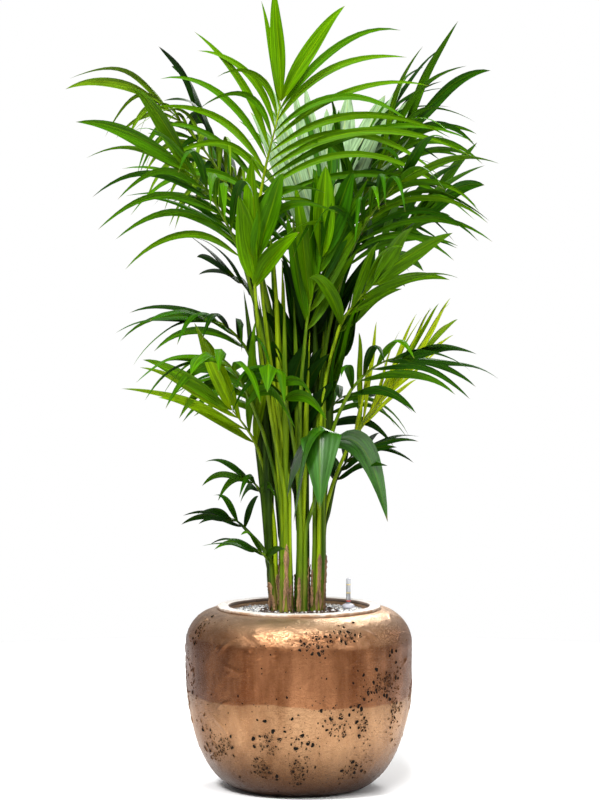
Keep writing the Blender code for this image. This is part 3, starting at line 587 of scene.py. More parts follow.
def rim_finish():
    """Off-white painted highlight, bronze-brown outer edge, chips and a dark brown inner wall."""
    f = Finish("rim_painted_highlight", 0.42)
    cloud = f.noise(30.0, 5.0, None, 0.6)
    away = f.from_axis()
    # Off-white of the ring: a painted highlight of the light on the lip.
    colour = f.mix(f.between(cloud, 0.35, 0.7), RIM_HIGHLIGHT_PALE, RIM_HIGHLIGHT_DULL)
    # Bronze-brown towards the ring's outer edge.
    outer_edge = f.times(f.between(away, 0.1640, 0.1652), f.between(cloud, 0.30, 0.60))
    colour = f.mix(outer_edge, colour, RIM_EDGE_BRONZE)
    # Dark brown on the wall of the mouth.
    inside = f.rest(f.between(away, 0.1430, 0.1448))
    colour = f.mix(f.times(inside, 0.85), colour, INNER_WALL)
    chips = f.between(f.noise(140.0, 2.0), 0.69, 0.72)
    f.set("Base Color", f.mix(chips, colour, CHIPPED))
    f.rough(cloud, 0.32, 0.2)
    f.bump(f.math("SUBTRACT", f.noise(90.0, 4.0), chips), 0.0005, 0.5)
    return f.material


rim = add_piece("rim", rim_points(), [rim_finish()], wrap=True)
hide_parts("planter_rim")
print("rim faces:", len(rim.data.polygons))

# %% [markdown]
# ## Root ball and gravel
#
# Dark growing medium shows only round the stems, where the gravel has been pushed
# aside. It is crumbly, so the mound is a disc grid lifted by layered waves, with loose
# crumbs on it. The white dressing is crushed stone: nearly five thousand
# grains of twenty faces each. They start as one icosahedron, and arrays stretch, turn
# and place a copy for each grain, so they lie in a dense layer with no gaps.

# %% Shapes that are repeated: one rough stone
GOLDEN = 0.5 * (1.0 + math.sqrt(5.0))
STONE_DENTS = (0.72, 1.25)
STONE_STRETCH = (0.7, 1.25)
STONE_FLAT = 0.75


def icosahedron():
    """Twelve corners and twenty faces, from the three golden rectangles."""
    corners = []
    for first in (-1.0, 1.0):
        for second in (-GOLDEN, GOLDEN):
            corners += [(0.0, first, second), (first, second, 0.0), (second, 0.0, first)]
    corners = unit(np.array(corners))
    reach = np.linalg.norm(corners[:, None] - corners[None], axis=-1)
    side = np.sort(reach[0])[1] * 1.01
    faces = [trio for trio in itertools.combinations(range(12), 3)
             if all(reach[a, b] < side for a, b in itertools.combinations(trio, 2))]
    faces = np.array(faces)
    a, b, c = (corners[faces[:, n]] for n in range(3))
    inward = np.einsum("ij,ij->i", np.cross(b - a, c - a), a) < 0.0
    faces[inward] = faces[inward][:, ::-1]
    return corners, faces


STONE, STONE_FACES = icosahedron()


def any_turns(count):
    """Random turns in space as 3 x 3 arrays, from random unit quaternions."""
    w, x, y, z = unit(dice.normal(size=(count, 4))).T
    rows = [[1 - 2 * (y * y + z * z), 2 * (x * y - z * w), 2 * (x * z + y * w)],
            [2 * (x * y + z * w), 1 - 2 * (x * x + z * z), 2 * (y * z - x * w)],
            [2 * (x * z - y * w), 2 * (y * z + x * w), 1 - 2 * (x * x + y * y)]]
    return np.array(rows).transpose(2, 0, 1)


def add_grains(name, places, sizes, materials, picks):
    """Copies of the rough stone, each dented, stretched, turned, flattened and placed."""
    count = len(places)
    form = STONE[None] * dice.uniform(*STONE_DENTS, (count, len(STONE), 1))
    form = form * dice.uniform(*STONE_STRETCH, (count, 1, 3))
    form = np.einsum("nij,nkj->nki", any_turns(count), form) * sizes[:, None, None]
    form[..., 2] *= STONE_FLAT
    points = form + places[:, None, :]
    faces = STONE_FACES[None] + len(STONE) * np.arange(count)[:, None, None]
    mesh = bpy.data.meshes.new(name)
    mesh.from_pydata(points.reshape(-1, 3).tolist(), [], faces.reshape(-1, 3).tolist())
    for material in materials:
        mesh.materials.append(material)
    mesh.polygons.foreach_set("material_index", np.repeat(picks, len(STONE_FACES)).astype(np.int32))
    return show(name, mesh)


def ring_places(inner, outer, spacing, low, high):
    """Places on a jittered spiral that fills a flat ring evenly."""
    count = int(np.pi * (outer ** 2 - inner ** 2) / spacing ** 2)
    number = np.arange(count)
    radius = np.sqrt(inner ** 2 + (outer ** 2 - inner ** 2) * (number + 0.5) / count)
    turn = number * FULL_TURN / GOLDEN ** 2 + dice.normal(0.0, 0.35 * spacing, count) / radius
    radius = np.clip(radius + dice.normal(0.0, 0.3 * spacing, count), inner, outer)
    return turned(radius, turn, dice.uniform(low, high, count))


print("one stone has", len(STONE_FACES), "faces")

# %% Soil mound, crumbs and gravel
SOIL_EDGE = 0.3500
SOIL_TOP = 0.3600
MOUND_RADIUS = 0.078
MOUND_SLOPE = 0.006
SOIL_ROWS = 40
SOIL_COLUMNS = 120
GRAIN = 0.0026


def soil_points():
    """A disc whose height falls outwards by a tanh, with layered waves for crumbs."""
    share = np.linspace(0.0, 1.0, SOIL_ROWS)[:, None]
    turn = steps_round(SOIL_COLUMNS)
    radius = share * (RIM_INNER - 0.0015) * np.ones_like(turn)
    x, y = radius * np.cos(turn), radius * np.sin(turn)
    coarse = np.sin(260.0 * x + 3.0 * np.sin(190.0 * y)) * np.sin(240.0 * y + 2.0 * np.sin(210.0 * x))
    fine = np.sin(610.0 * x + 1.0) * np.sin(570.0 * y)
    crumbs = 0.0012 * coarse + 0.0007 * fine
    mound = 0.5 + 0.5 * np.tanh((MOUND_RADIUS - MOUND_SLOPE - radius) / MOUND_SLOPE)
    height = SOIL_EDGE + (SOIL_TOP - SOIL_EDGE) * mound + crumbs * (0.25 + 0.75 * mound) * (share > 0.0)
    return np.stack([x, y, height], -1)[None]


def soil_finish(name, low, high):
    """Moist medium: dark, near black in the hollows with painted shade, brown on the crumbs, with pale
    fibres.
    """
    f = Finish(name, 0.88)
    grain = f.noise(330.0, 5.0, None, 0.7)
    fibre = f.noise(60.0, 6.0, f.stretch(f.place, (1.0, 4.0, 1.0)), 0.7)
    # Low points of the grain, the hollows of the bump, get the darker colour: painted shade.
    colour = f.mix(f.between(grain, 0.35, 0.7), low, high)
    f.set("Base Color", f.mix(f.times(f.between(fibre, 0.62, 0.70), 0.6), colour, (0.16, 0.10, 0.06)))
    f.bump(grain, 0.0020, 0.8)
    return f.material


def stone_finish(name, low, high):
    """Crushed white stone: a chalky face with faint grey veins."""
    f = Finish(name, 0.72)
    grain = f.noise(420.0, 4.0, None, 0.6)
    f.set("Base Color", f.mix(f.between(grain, 0.3, 0.75), low, high))
    f.rough(grain, 0.45, 0.4)
    f.bump(grain, 0.0007, 0.6)
    return f.material


soil_dark = soil_finish("soil_dark", (0.010, 0.006, 0.004), (0.075, 0.042, 0.026))
soil_crumb = soil_finish("soil_crumb", (0.030, 0.017, 0.011), (0.150, 0.085, 0.050))
soil = add_piece("soil", soil_points(), [soil_dark], wrap=True)
if soil.data.polygons[0].normal.z < 0.0:
    soil.data.flip_normals()
crumb_places = ring_places(0.0, MOUND_RADIUS, 0.0042, SOIL_TOP - 0.0004, SOIL_TOP + 0.0010)
crumbs = add_grains("soil_crumbs", crumb_places, dice.uniform(0.0010, 0.0030, len(crumb_places)),
                    [soil_dark, soil_crumb], dice.integers(0, 2, len(crumb_places)))
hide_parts("substrate")

stones = [stone_finish("stone_white", (0.52, 0.52, 0.51), (0.80, 0.80, 0.78)),
          stone_finish("stone_grey", (0.09, 0.095, 0.105), (0.32, 0.33, 0.35)),
          stone_finish("stone_warm", (0.26, 0.23, 0.19), (0.55, 0.50, 0.43))]
lower_layer = ring_places(0.068, RIM_INNER - 0.003, 0.0042, 0.3530, 0.3545)
upper_layer = ring_places(0.074, RIM_INNER - 0.003, 0.0047, 0.3560, 0.3580)
scattered = ring_places(0.040, 0.076, 0.0125, 0.3605, 0.3615)
grain_places = np.concatenate([lower_layer, upper_layer, scattered])
picks = dice.choice(3, len(grain_places), p=(0.46, 0.38, 0.16))
gravel = add_grains("gravel", grain_places, GRAIN * dice.uniform(0.65, 1.2, len(grain_places)), stones, picks)
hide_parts("gravel_dressing")
print("grains:", len(grain_places), "crumbs:", len(crumb_places))

# %% [markdown]
# ## The water gauge
#
# A small gauge stands in the gravel: a domed grey foot, a milky tube, two yellow marks
# and a red one. All of it is turned from profiles. A third of the light that meets the
# tube goes through it and is bent as in acrylic, which looks softer than clear glass.

# %% Turn the gauge's foot, tube and marks
GAUGE_PLACE = (0.101, 0.058)
GAUGE_LOW = 0.3579
GAUGE_FOOT_TOP = 0.3669
GAUGE_TOP = 0.4192
GAUGE_SIDES = 40
ACRYLIC_IOR = 1.49
TUBE_RADIUS = 0.0045
MARK_RADIUS = 0.00462
GAUGE_MARKS = ((0.3705, 0.0028, "red"), (0.3880, 0.0016, "yellow"), (0.4050, 0.0016, "yellow"))


def gauge_grid(profile):
    """A (radius, height) profile turned round the gauge's axis, as one grid."""
    return turned_profile(profile, GAUGE_SIDES, GAUGE_PLACE)[None]


def plastic_finish(name, colour, roughness, **constants):
    """Moulded plastic with a faint cloudiness and fine moulding grain."""
    f = Finish(name, roughness, **constants)
    cloud = f.noise(180.0, 3.0)
    f.set("Base Color", f.mix(cloud, tuple(0.86 * value for value in colour), colour))
    f.bump(f.noise(900.0, 2.0), 0.0002, 0.2)
    return f.material


dome = quarter((0.0135, GAUGE_LOW + 0.002), (0.0046, GAUGE_FOOT_TOP), np.linspace(0.0, 1.0, 9), False)
foot_profile = [(0.0, GAUGE_LOW), (0.0128, GAUGE_LOW), (0.0135, GAUGE_LOW + 0.0006), *dome.tolist(),
                (0.0, GAUGE_FOOT_TOP)]
gauge_foot = add_piece("gauge_stand", gauge_grid(foot_profile),
                       [plastic_finish("gauge_grey_plastic", (0.50, 0.50, 0.55), 0.38)], wrap=True)
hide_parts("gauge_foot")

cap = quarter((TUBE_RADIUS, GAUGE_TOP - 0.0022), (0.0, GAUGE_TOP), np.linspace(0.0, 1.0, 6), False)
tube_profile = [(0.0, GAUGE_FOOT_TOP + 0.0003), (TUBE_RADIUS, GAUGE_FOOT_TOP + 0.0003), *cap.tolist()]
gauge_tube = add_piece("gauge_sleeve", gauge_grid(tube_profile),
                       [plastic_finish("gauge_milky_plastic", (0.74, 0.76, 0.80), 0.16,
                                       Transmission_Weight=0.35, IOR=ACRYLIC_IOR)], wrap=True)
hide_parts("gauge_tube")

mark_colours = {"red": plastic_finish("gauge_mark_red", (0.55, 0.05, 0.03), 0.4),
                "yellow": plastic_finish("gauge_mark_yellow", (0.80, 0.58, 0.12), 0.4)}
for number, (height, tall, colour) in enumerate(GAUGE_MARKS):
    band = [(0.0, height), (MARK_RADIUS, height), (MARK_RADIUS, height + tall), (0.0, height + tall)]
    mark = add_piece(f"gauge_mark_{number + 1}", gauge_grid(band), [mark_colours[colour]], wrap=True)
print("gauge top:", GAUGE_TOP)

# %% [markdown]
# ## How the palm grows
#
# The plant is seven short stems that stand in one clump. Each stem is a bundle of
# leaf stalks, the petioles, wrapped in their own fibrous sheaths. A petiole rises from
# its stem, bends outwards, and becomes the rib that carries the leaflets.
#
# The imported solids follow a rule, and the same rule is written here again, so that the
# fine leaflets grow where the plain ones are. A frond is one row of a table: its stem,
# where its first leaflets leave the rib, where the rib ends, how many pairs it has and
# how they spread and droop. Drawing four hundred leaflets by hand would be the other
# way, and it would neither match nor ever be changed with ease. A few rows have wider,
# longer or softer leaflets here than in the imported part, on the very same ribs.

# %% Rows of the stems and fronds
@dataclass(frozen=True)
class Cane:
    """One short stem: where it stands, and the middle of its top."""

    place: tuple
    top: tuple


@dataclass(frozen=True)
class Frond:
    """One leaf of the palm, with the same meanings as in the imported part.

    tone names the greens of its leaflets.
    """

    name: str
    cane: int
    crown: tuple
    tip: tuple
    tone: str
    pairs: int
    leaf: float
    width: float
    droop: float
    spread: tuple
    bow: float = 0.0
    roll: float = 0.0
    taper: tuple = (0.30, 0.34)
    sides: tuple = (1.0, 1.0)
    end_leaf: float = 0.72
    end_width: float = 1.5
    end_droop: float = 0.5


CANES = (
    Cane((-0.047, -0.012), (-0.054, -0.015, 0.452)),
    Cane((-0.027, -0.038), (-0.026, -0.040, 0.492)),
    Cane((-0.026, 0.014), (-0.028, 0.018, 0.505)),
    Cane((0.004, -0.026), (0.006, -0.028, 0.486)),
    Cane((0.006, 0.030), (0.008, 0.036, 0.515)),
    Cane((0.036, -0.012), (0.039, -0.014, 0.498)),
    Cane((0.038, 0.028), (0.043, 0.032, 0.508)),
)

FRONDS = (
    # node, stem, crown, tip, tone, pairs, leaf length, width, droop, spread; then what is unusual
    Frond("frond_front_top", 1, (-0.077, -0.1, 1.179), (-0.035, -0.15, 1.381), "bright", 7, 0.45, 0.018,
          0.95, (50, 15), bow=-0.1, taper=(0, 0.42), sides=(1.05, 0.74), end_leaf=0.53, end_width=1.75,
          end_droop=0.3),
    Frond("frond_back_fan", 3, (0.035, 0.05, 1.066), (0.068, 0.1, 1.183), "pale", 8, 0.39, 0.038, 0.15,
          (30, 8), bow=0.1, taper=(0.1, 0.3)),
    Frond("frond_left_arch", 1, (-0.111, -0.1, 1.066), (-0.214, -0.18, 1.246), "middle", 5, 0.36, 0.023, 1.1,
          (38, 15), bow=0.3, roll=25, taper=(0, 0.3), sides=(1, 0.9)),
    Frond("frond_upper_left", 2, (-0.123, 0.0, 1.175), (-0.27, 0.03, 1.382), "olive", 7, 0.37, 0.016, 1.7,
          (40, 17), bow=0.2, roll=40, taper=(0.05, 0.4), sides=(1, 0.72)),
    Frond("frond_left_dark", 2, (-0.125, 0.07, 1.162), (-0.183, 0.1, 1.347), "dark", 4, 0.28, 0.032, 1.1,
          (32, 13), bow=0.2, roll=30, taper=(0.1, 0.3)),
    Frond("frond_right_high", 6, (0.079, 0.0, 1.066), (0.201, 0.02, 1.317), "middle", 8, 0.38, 0.021, 0.95,
          (38, 15), bow=0.2, roll=-40, taper=(0.1, 0.35)),
    Frond("frond_right_back_high", 4, (0.053, 0.1, 1.111), (0.151, 0.15, 1.335), "dark", 6, 0.34, 0.026, 1.0,
          (34, 16), bow=0.2, roll=-30, taper=(0.1, 0.3)),
    Frond("frond_right_mid", 5, (0.092, -0.06, 1.054), (0.195, -0.15, 1.223), "middle", 6, 0.32, 0.018, 1.2,
          (42, 17), bow=0.3, roll=-25, taper=(0.1, 0.3)),
    Frond("frond_right_low", 5, (0.132, 0.05, 1.017), (0.235, 0.08, 1.156), "middle", 4, 0.28, 0.03, 0.7,
          (46, 17), bow=0.2, roll=-45),
    Frond("frond_right_bright", 5, (0.078, -0.06, 0.926), (0.141, -0.11, 1.02), "bright", 3, 0.28, 0.028,
          0.6, (34, 15), bow=0.1, roll=-10),
    Frond("frond_centre_right", 3, (0.014, -0.09, 0.93), (0.042, -0.12, 1.074), "middle", 4, 0.28, 0.031,
          0.15, (24, 9), bow=0.1),
    Frond("frond_centre_left", 1, (-0.087, -0.12, 1.014), (-0.083, -0.14, 1.066), "bright", 1, 0.23, 0.044,
          0.5, (18, 9), end_leaf=0.98, end_width=1.1),
    Frond("frond_left_back", 2, (-0.092, 0.06, 0.988), (-0.131, 0.08, 1.037), "dark", 2, 0.19, 0.018, 0.6,
          (46, 20), bow=0.2, roll=30),
    Frond("frond_right_light", 6, (0.108, 0.04, 0.704), (0.215, 0.07, 0.845), "young", 7, 0.25, 0.02, 0.1,
          (44, 16), roll=-35, taper=(0.1, 0.3)),
    Frond("frond_right_drooping", 5, (0.1, -0.03, 0.8), (0.205, -0.085, 0.876), "deep", 4, 0.28, 0.022, 1.2,
          (46, 18), bow=0.5, roll=-30),
    Frond("frond_lower_right", 3, (0.054, -0.08, 0.697), (0.042, -0.11, 0.736), "shiny", 1, 0.34, 0.058, 4.3,
          (68, 20), bow=0.6, taper=(0, 0.3), sides=(1, 0.62), end_leaf=0.72, end_width=1.45, end_droop=1.5),
    Frond("frond_lower_right_back", 6, (0.073, 0.04, 0.616), (0.119, 0.08, 0.677), "dark", 4, 0.2, 0.021, 1,
          (52, 24), bow=0.4),
    Frond("frond_mid_left_high", 2, (-0.103, 0.0, 0.884), (-0.186, -0.05, 0.953), "deep", 4, 0.27, 0.021,
          1.2, (50, 22), bow=0.5, roll=15, taper=(0.1, 0.3)),
    Frond("frond_mid_left_low", 1, (-0.098, -0.06, 0.79), (-0.171, -0.15, 0.881), "middle", 4, 0.26, 0.026,
          1.7, (54, 24), bow=0.6, roll=10, taper=(0.1, 0.3)),
    Frond("frond_left_light", 0, (-0.085, -0.02, 0.693), (-0.134, -0.04, 0.769), "light", 3, 0.3, 0.022, 0.5,
          (34, 18), bow=0.1, roll=45),
    Frond("frond_small_left_high", 0, (-0.075, 0.0, 0.595), (-0.103, 0.0, 0.629), "deep", 2, 0.17, 0.017,
          1.4, (50, 24), bow=0.3, roll=40, end_droop=0.8),
    Frond("frond_small_left_mid", 0, (-0.109, -0.02, 0.528), (-0.135, -0.03, 0.549), "dark", 2, 0.15, 0.016,
          0.7, (50, 24), bow=0.3, roll=30, end_droop=0.8),
    Frond("frond_small_left_low", 0, (-0.066, -0.04, 0.472), (-0.082, -0.046, 0.486), "deep", 2, 0.17, 0.018,
          0.8, (56, 24), bow=0.3, end_droop=0.8),
    Frond("frond_centre_drooping", 3, (-0.028, -0.1, 0.793), (-0.057, -0.15, 0.859), "middle", 3, 0.19,
          0.026, 2.2, (56, 24), bow=0.6, end_droop=1),
    Frond("frond_back_left", 4, (-0.076, 0.1, 1.039), (-0.157, 0.22, 1.237), "deep", 5, 0.33, 0.021, 1,
          (44, 16), bow=0.3, taper=(0.1, 0.34)),
    Frond("frond_back_centre", 4, (-0.014, 0.13, 1.059), (0.0, 0.26, 1.27), "middle", 6, 0.33, 0.02, 0.85,
          (46, 18), bow=0.3, taper=(0.1, 0.34)),
    Frond("frond_back_right", 6, (0.064, 0.13, 1.039), (0.137, 0.25, 1.238), "deep", 6, 0.33, 0.021, 1,
          (44, 16), bow=0.3, taper=(0.1, 0.34)),
    Frond("frond_back_low_left", 4, (-0.064, 0.1, 0.741), (-0.127, 0.2, 0.83), "middle", 4, 0.26, 0.022, 1.4,
          (50, 20), bow=0.5),
    Frond("frond_back_low_right", 6, (0.045, 0.1, 0.72), (0.102, 0.2, 0.788), "deep", 4, 0.26, 0.022, 1.4,
          (50, 20), bow=0.5),
    Frond("frond_inner_high", 4, (-0.002, 0.03, 0.785), (0.03, 0.0, 0.918), "dark", 5, 0.29, 0.036, 0.25,
          (27, 13), bow=0.1, taper=(0.1, 0.2)),
    Frond("frond_inner_low", 2, (-0.038, 0.0, 0.645), (-0.032, -0.02, 0.747), "dark", 4, 0.25, 0.034, 0.4,
          (24, 10), bow=0.1),
    Frond("frond_inner_right", 5, (0.046, 0.0, 0.746), (0.079, 0.0, 0.868), "deep", 4, 0.28, 0.032, 0.3,
          (24, 10), bow=0.1),
)
print(len(CANES), "stems carry", len(FRONDS), "fronds")

# %% [markdown]
# ### Finding each rib
#
# A petiole leaves its stem upright and bends into the rib on one smooth curve. Where
# two of them would meet, the rule shifts the crown or sways the petiole a little,
# trying the smallest moves first. The same trials are made here against the packed
# stems and bowl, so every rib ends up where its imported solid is.

# %% Centre line of a petiole and rib
CLEARANCE = 0.0003
PETIOLE_RADIUS = 0.0042
CROWN_RADIUS = 0.0032
RIB_END_RADIUS = 0.0020
PETIOLE_SPACE = 0.0016
PETIOLE_SPANS = 5
RIB_SPANS = 5
RIB_SIDES = 4
FOOT_STEPS = 12
SWAY_STEP = 0.006
SWAY_RINGS = 6
SHIFT_STEP = 0.008
SHIFT_RINGS = 4
COMPASS = 8
TEST_SPARE = 0.0012
CHANCE_WEIGHTS = (12.9898, 78.233, 37.719, 93.989)
CHANCE_SCALE = 43758.5453


def chance(*numbers):
    """A fixed value from -1 to 1 that looks random: the odd digits of a large sine."""
    seed = sum((number + 1.0) * weight for number, weight in zip(numbers, CHANCE_WEIGHTS))
    return 2.0 * math.modf(abs(math.sin(seed)) * CHANCE_SCALE)[0] - 1.0


def ease(share):
    """0 to 1 along an S, slow at both ends: 3 t^2 - 2 t^3."""
    return share * share * (3.0 - 2.0 * share)


def smooth_between(start, start_way, end, end_way, share):
    """Cubic curve through two ends with given directions there."""
    turn = ease(share)
    leave = share * (1.0 - share) ** 2
    arrive = share * share * (share - 1.0)
    return start * (1.0 - turn) + end * turn + start_way * leave + end_way * arrive


def petiole_ring(number):
    """Radius of the ring of feet on a stem: wide enough for each petiole's room."""
    mates = sum(frond.cane == number for frond in FRONDS)
    return (2.0 * PETIOLE_RADIUS + PETIOLE_SPACE) / (2.0 * math.sin(math.pi / mates))


def foot_angles(number):
    """The feet's angles on a stem: even spaces, each foot on the side it leans to."""
    cane = CANES[number]
    mates = [frond for frond in FRONDS if frond.cane == number]
    leans = [((frond.crown[0] - cane.top[0]) / (frond.crown[2] - cane.top[2]),
              (frond.crown[1] - cane.top[1]) / (frond.crown[2] - cane.top[2])) for frond in mates]
    best_score, best_order = -math.inf, None
    for step in range(FOOT_STEPS):
        even = [FULL_TURN * (step / FOOT_STEPS + place) / len(mates) for place in range(len(mates))]
        for order in itertools.permutations(even):
            score = sum(math.cos(angle) * x + math.sin(angle) * y for angle, (x, y) in zip(order, leans))
            if score > best_score:
                best_score, best_order = score, order
    return {frond.name: angle for frond, angle in zip(mates, best_order)}


FOOT_ANGLE = {name: angle for number in range(len(CANES)) for name, angle in foot_angles(number).items()}


def petiole_foot(frond):
    """The frond's place on the ring of feet."""
    top, angle, ring = CANES[frond.cane].top, FOOT_ANGLE[frond.name], petiole_ring(frond.cane)
    return Vector((top[0] + ring * math.cos(angle), top[1] + ring * math.sin(angle), top[2] + CLEARANCE))


def rib_path(frond, foot, sway, shift):
    """Points of the centre line: up the petiole to the crown, and along the rib."""
    crown = Vector(frond.crown) + shift
    tip = Vector(frond.tip)
    rise, run = crown - foot, tip - crown
    upright = Vector((0.0, 0.0, rise.length))
    lean = (rise.normalized() + run.normalized()).normalized()
    end_way = (run.normalized() - Vector((0.0, 0.0, frond.bow))).normalized()
    path = []
    for step in range(PETIOLE_SPANS):
        share = step / PETIOLE_SPANS
        path.append(smooth_between(foot, upright, crown, lean * rise.length, share)
                    + sway * math.sin(math.pi * share))
    for step in range(RIB_SPANS + 1):
        path.append(smooth_between(crown, lean * run.length, tip, end_way * run.length, step / RIB_SPANS))
    path[1].xy = 0.5 * (path[1].xy + foot.xy)
    return path


def tube_rings(lines, radii, sides):
    """Rings round lines of points: cosine and sine of two directions square to the line.

    lines is shaped (count, steps, 3) and radii (count, steps).
    """
    ways = unit(np.gradient(lines, axis=1))
    first = unit(np.cross(ways, (0.0, 1.0, 0.0)))
    second = np.cross(ways, first)
    turn = np.arange(sides)[:, None] * FULL_TURN / sides
    ring = np.cos(turn) * first[:, :, None, :] + np.sin(turn) * second[:, :, None, :]
    return lines[:, :, None, :] + ring * radii[:, :, None, None]


def rib_form(path, spare=0.0):
    """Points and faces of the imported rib, a little thicker by spare."""
    line = np.array([tuple(point) for point in path])[None]
    radii = np.concatenate([np.linspace(PETIOLE_RADIUS, CROWN_RADIUS, PETIOLE_SPANS + 1)[:-1],
                            np.linspace(CROWN_RADIUS, RIB_END_RADIUS, RIB_SPANS + 1)])[None] + spare
    rings = tube_rings(line, radii, RIB_SIDES)[0]
    rings[0, :, 2] = line[0, 0, 2]
    faces, _, _ = grid_faces(1, rings.shape[0], RIB_SIDES, True)
    last = (rings.shape[0] - 1) * RIB_SIDES
    ends = [tuple(range(RIB_SIDES)), tuple(range(last, last + RIB_SIDES))]
    return rings.reshape(-1, 3).tolist(), faces.tolist() + ends


def offsets(step, rings):
    """Level moves on growing rings, the smallest first."""
    places = [Vector((0.0, 0.0, 0.0))]
    for ring in range(1, rings + 1):
        for turn in range(COMPASS):
            angle = FULL_TURN * (turn + 0.5 * ring) / COMPASS
            places.append(Vector((step * ring * math.cos(angle), step * ring * math.sin(angle), 0.0)))
    return places


def clear_rib(frond, others):
    """The centre line with the least shift and sway that meets nothing already there."""
    foot = petiole_foot(frond)
    for shift in offsets(SHIFT_STEP, SHIFT_RINGS):
        for sway in offsets(SWAY_STEP, SWAY_RINGS):
            path = rib_path(frond, foot, sway, shift)
            tree = BVHTree.FromPolygons(*rib_form(path, TEST_SPARE))
            if not any(tree.overlap(other) for other in others):
                return path
    raise RuntimeError(f"no clear way for {frond.name}")


def packed_tree(name):
    """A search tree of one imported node's faces."""
    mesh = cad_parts[name].data
    corners = [tuple(vertex.co) for vertex in mesh.vertices]
    return BVHTree.FromPolygons(corners, [tuple(face.vertices) for face in mesh.polygons])


fixed = [packed_tree(name) for name in sorted(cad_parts) if not name.startswith("frond_")]
PATHS = []
for frond in FRONDS:
    PATHS.append(clear_rib(frond, fixed))
    fixed.append(BVHTree.FromPolygons(*rib_form(PATHS[-1])))
print("ribs found:", len(PATHS))

# %% [markdown]
# ### Round petioles and ribs
#
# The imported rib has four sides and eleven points. The finished one is a round tube on
# a smooth curve through the same points: between two points, the curve leaves and
# arrives along the line from one neighbour to the next. Each petiole also runs on down
# its stem to the soil, thicker towards the ground, because a stem is really a bundle
# of such stalks.

# %% Smooth tubes for the petioles and ribs
CURVE_STEPS = 5
STEM_STEPS = 6
STALK_SIDES = 10
STALK_LOW = 0.3560
STALK_THICK = 0.0066
STALK_AT_TOP = 0.0049
PETIOLE_THICK = 0.0047
RIB_THICK = 0.0034
RIB_THIN = 0.0012
RING_WIDER = 1.08


def smooth_line(points, steps):
    """Catmull-Rom curve: cubic pieces whose end directions join the neighbours."""
    points = np.asarray(points)
    ahead = np.concatenate([[2.0 * points[0] - points[1]], points, [2.0 * points[-1] - points[-2]]])
    share = (np.arange(steps) / steps)[None, :, None]
    a, b, c, d = (ahead[n:len(ahead) - 3 + n][:, None, :] for n in range(4))
    curve = smooth_between(b, 0.5 * (c - a), c, 0.5 * (d - b), share)
    return np.concatenate([curve.reshape(-1, 3), points[-1:]])


def stalk_line(number):
    """The line of one stalk from the soil up its stem, its petiole and its rib."""
    frond = FRONDS[number]
    angle, ring = FOOT_ANGLE[frond.name], RING_WIDER * petiole_ring(frond.cane)
    out = np.array([ring * math.cos(angle), ring * math.sin(angle), 0.0])
    low = np.array([*CANES[frond.cane].place, STALK_LOW]) + out
    high = np.array(tuple(petiole_foot(frond)))
    share = np.linspace(0.0, 1.0, STEM_STEPS)[:-1, None]
    stem = low + (high - low) * np.concatenate([ease(share), ease(share), share], 1)
    return np.concatenate([stem, smooth_line([tuple(point) for point in PATHS[number]], CURVE_STEPS)])


def stalk_radii(line_count):
    """Thick at the soil, petiole thickness at its foot, thin at the rib's end."""
    stem = np.linspace(STALK_THICK, STALK_AT_TOP, STEM_STEPS)[:-1]
    petiole = np.linspace(PETIOLE_THICK, RIB_THICK, PETIOLE_SPANS * CURVE_STEPS + 1)[:-1]
    rib = np.linspace(RIB_THICK, RIB_THIN, line_count - len(stem) - len(petiole))
    radii = np.concatenate([stem, petiole, rib])
    radii[-1] = 0.0
    return radii


stalk_lines = np.stack([stalk_line(number) for number in range(len(FRONDS))])
radii = stalk_radii(stalk_lines.shape[1])[None].repeat(len(FRONDS), 0)
stalk_points = tube_rings(stalk_lines, radii, STALK_SIDES)
print("stalk grids:", stalk_points.shape)

# %% [markdown]
# ## Greens
#
# The greens have a place: old fronds low and inside are nearly blue-black, the front
# ones bright, partly their age and partly painted light and shade. The young one is
# yellow and the light one pale yellow-green, with a painted glow of light shining
# through them, and the back fan is pale grey-green with a painted sheen. So each frond
# is dealt its own tone, and each leaflet takes one of that tone's three near shades.
# Within a leaflet the shader adds what a real blade has: parallel veins that fade
# towards the tip, a paler midrib, a yellower base, a dry tip, and a soft mottle. Veins
# follow the UV map, across the blade. Near the plant's axis and under the crown every
# green is darkened with painted shade, because little light comes there, and old
# leaves there are darker too.

# %% Leaf finishes
VEINS = 8.0
VEIN_SHARE = 0.44
MIDRIB_SHARE = 0.45
INSIDE, OUTSIDE = 0.06, 0.17
CROWN_LOW, CROWN_HIGH = 1.02, 1.20
CLUMP_SHADE_SHARE = 0.62
DRY_TIP = (0.22, 0.13, 0.05)
SATIN = (0.46, 0.035)
GLOSSY = (0.31, 0.42)
# The pale grey-green tone is a painted sheen of light on glossy leaves.
GREENS = {
    "bright": (0.060, 0.156, 0.0), "middle": (0.039, 0.128, 0.0), "olive": (0.094, 0.186, 0.004),
    "deep": (0.016, 0.074, 0.0), "dark": (0.005, 0.027, 0.0), "pale": (0.175, 0.272, 0.135),
    # The young and light tones are yellower partly with a painted glow of light shining through the leaves.
    "young": (0.370, 0.490, 0.004), "light": (0.145, 0.270, 0.0), "shiny": (0.018, 0.086, 0.001),
}
# Tones from bright to dark follow a frond's place, front or inside: partly the leaves' age, partly painted
# light and shade.
TONES = {
    "bright": ("bright", "bright", "middle"), "middle": ("middle", "bright", "deep"),
    "olive": ("olive", "olive", "middle"), "deep": ("deep", "middle", "dark"),
    "dark": ("dark", "deep", "dark"), "pale": ("pale", "pale", "deep"),
    "young": ("young", "young", "light"), "light": ("light", "bright", "light"),
    "shiny": ("shiny", "shiny", "deep"),
}


def shade(colour, share):
    """A colour made darker or brighter by a share."""
    return tuple(min(1.0, share * value) for value in colour)


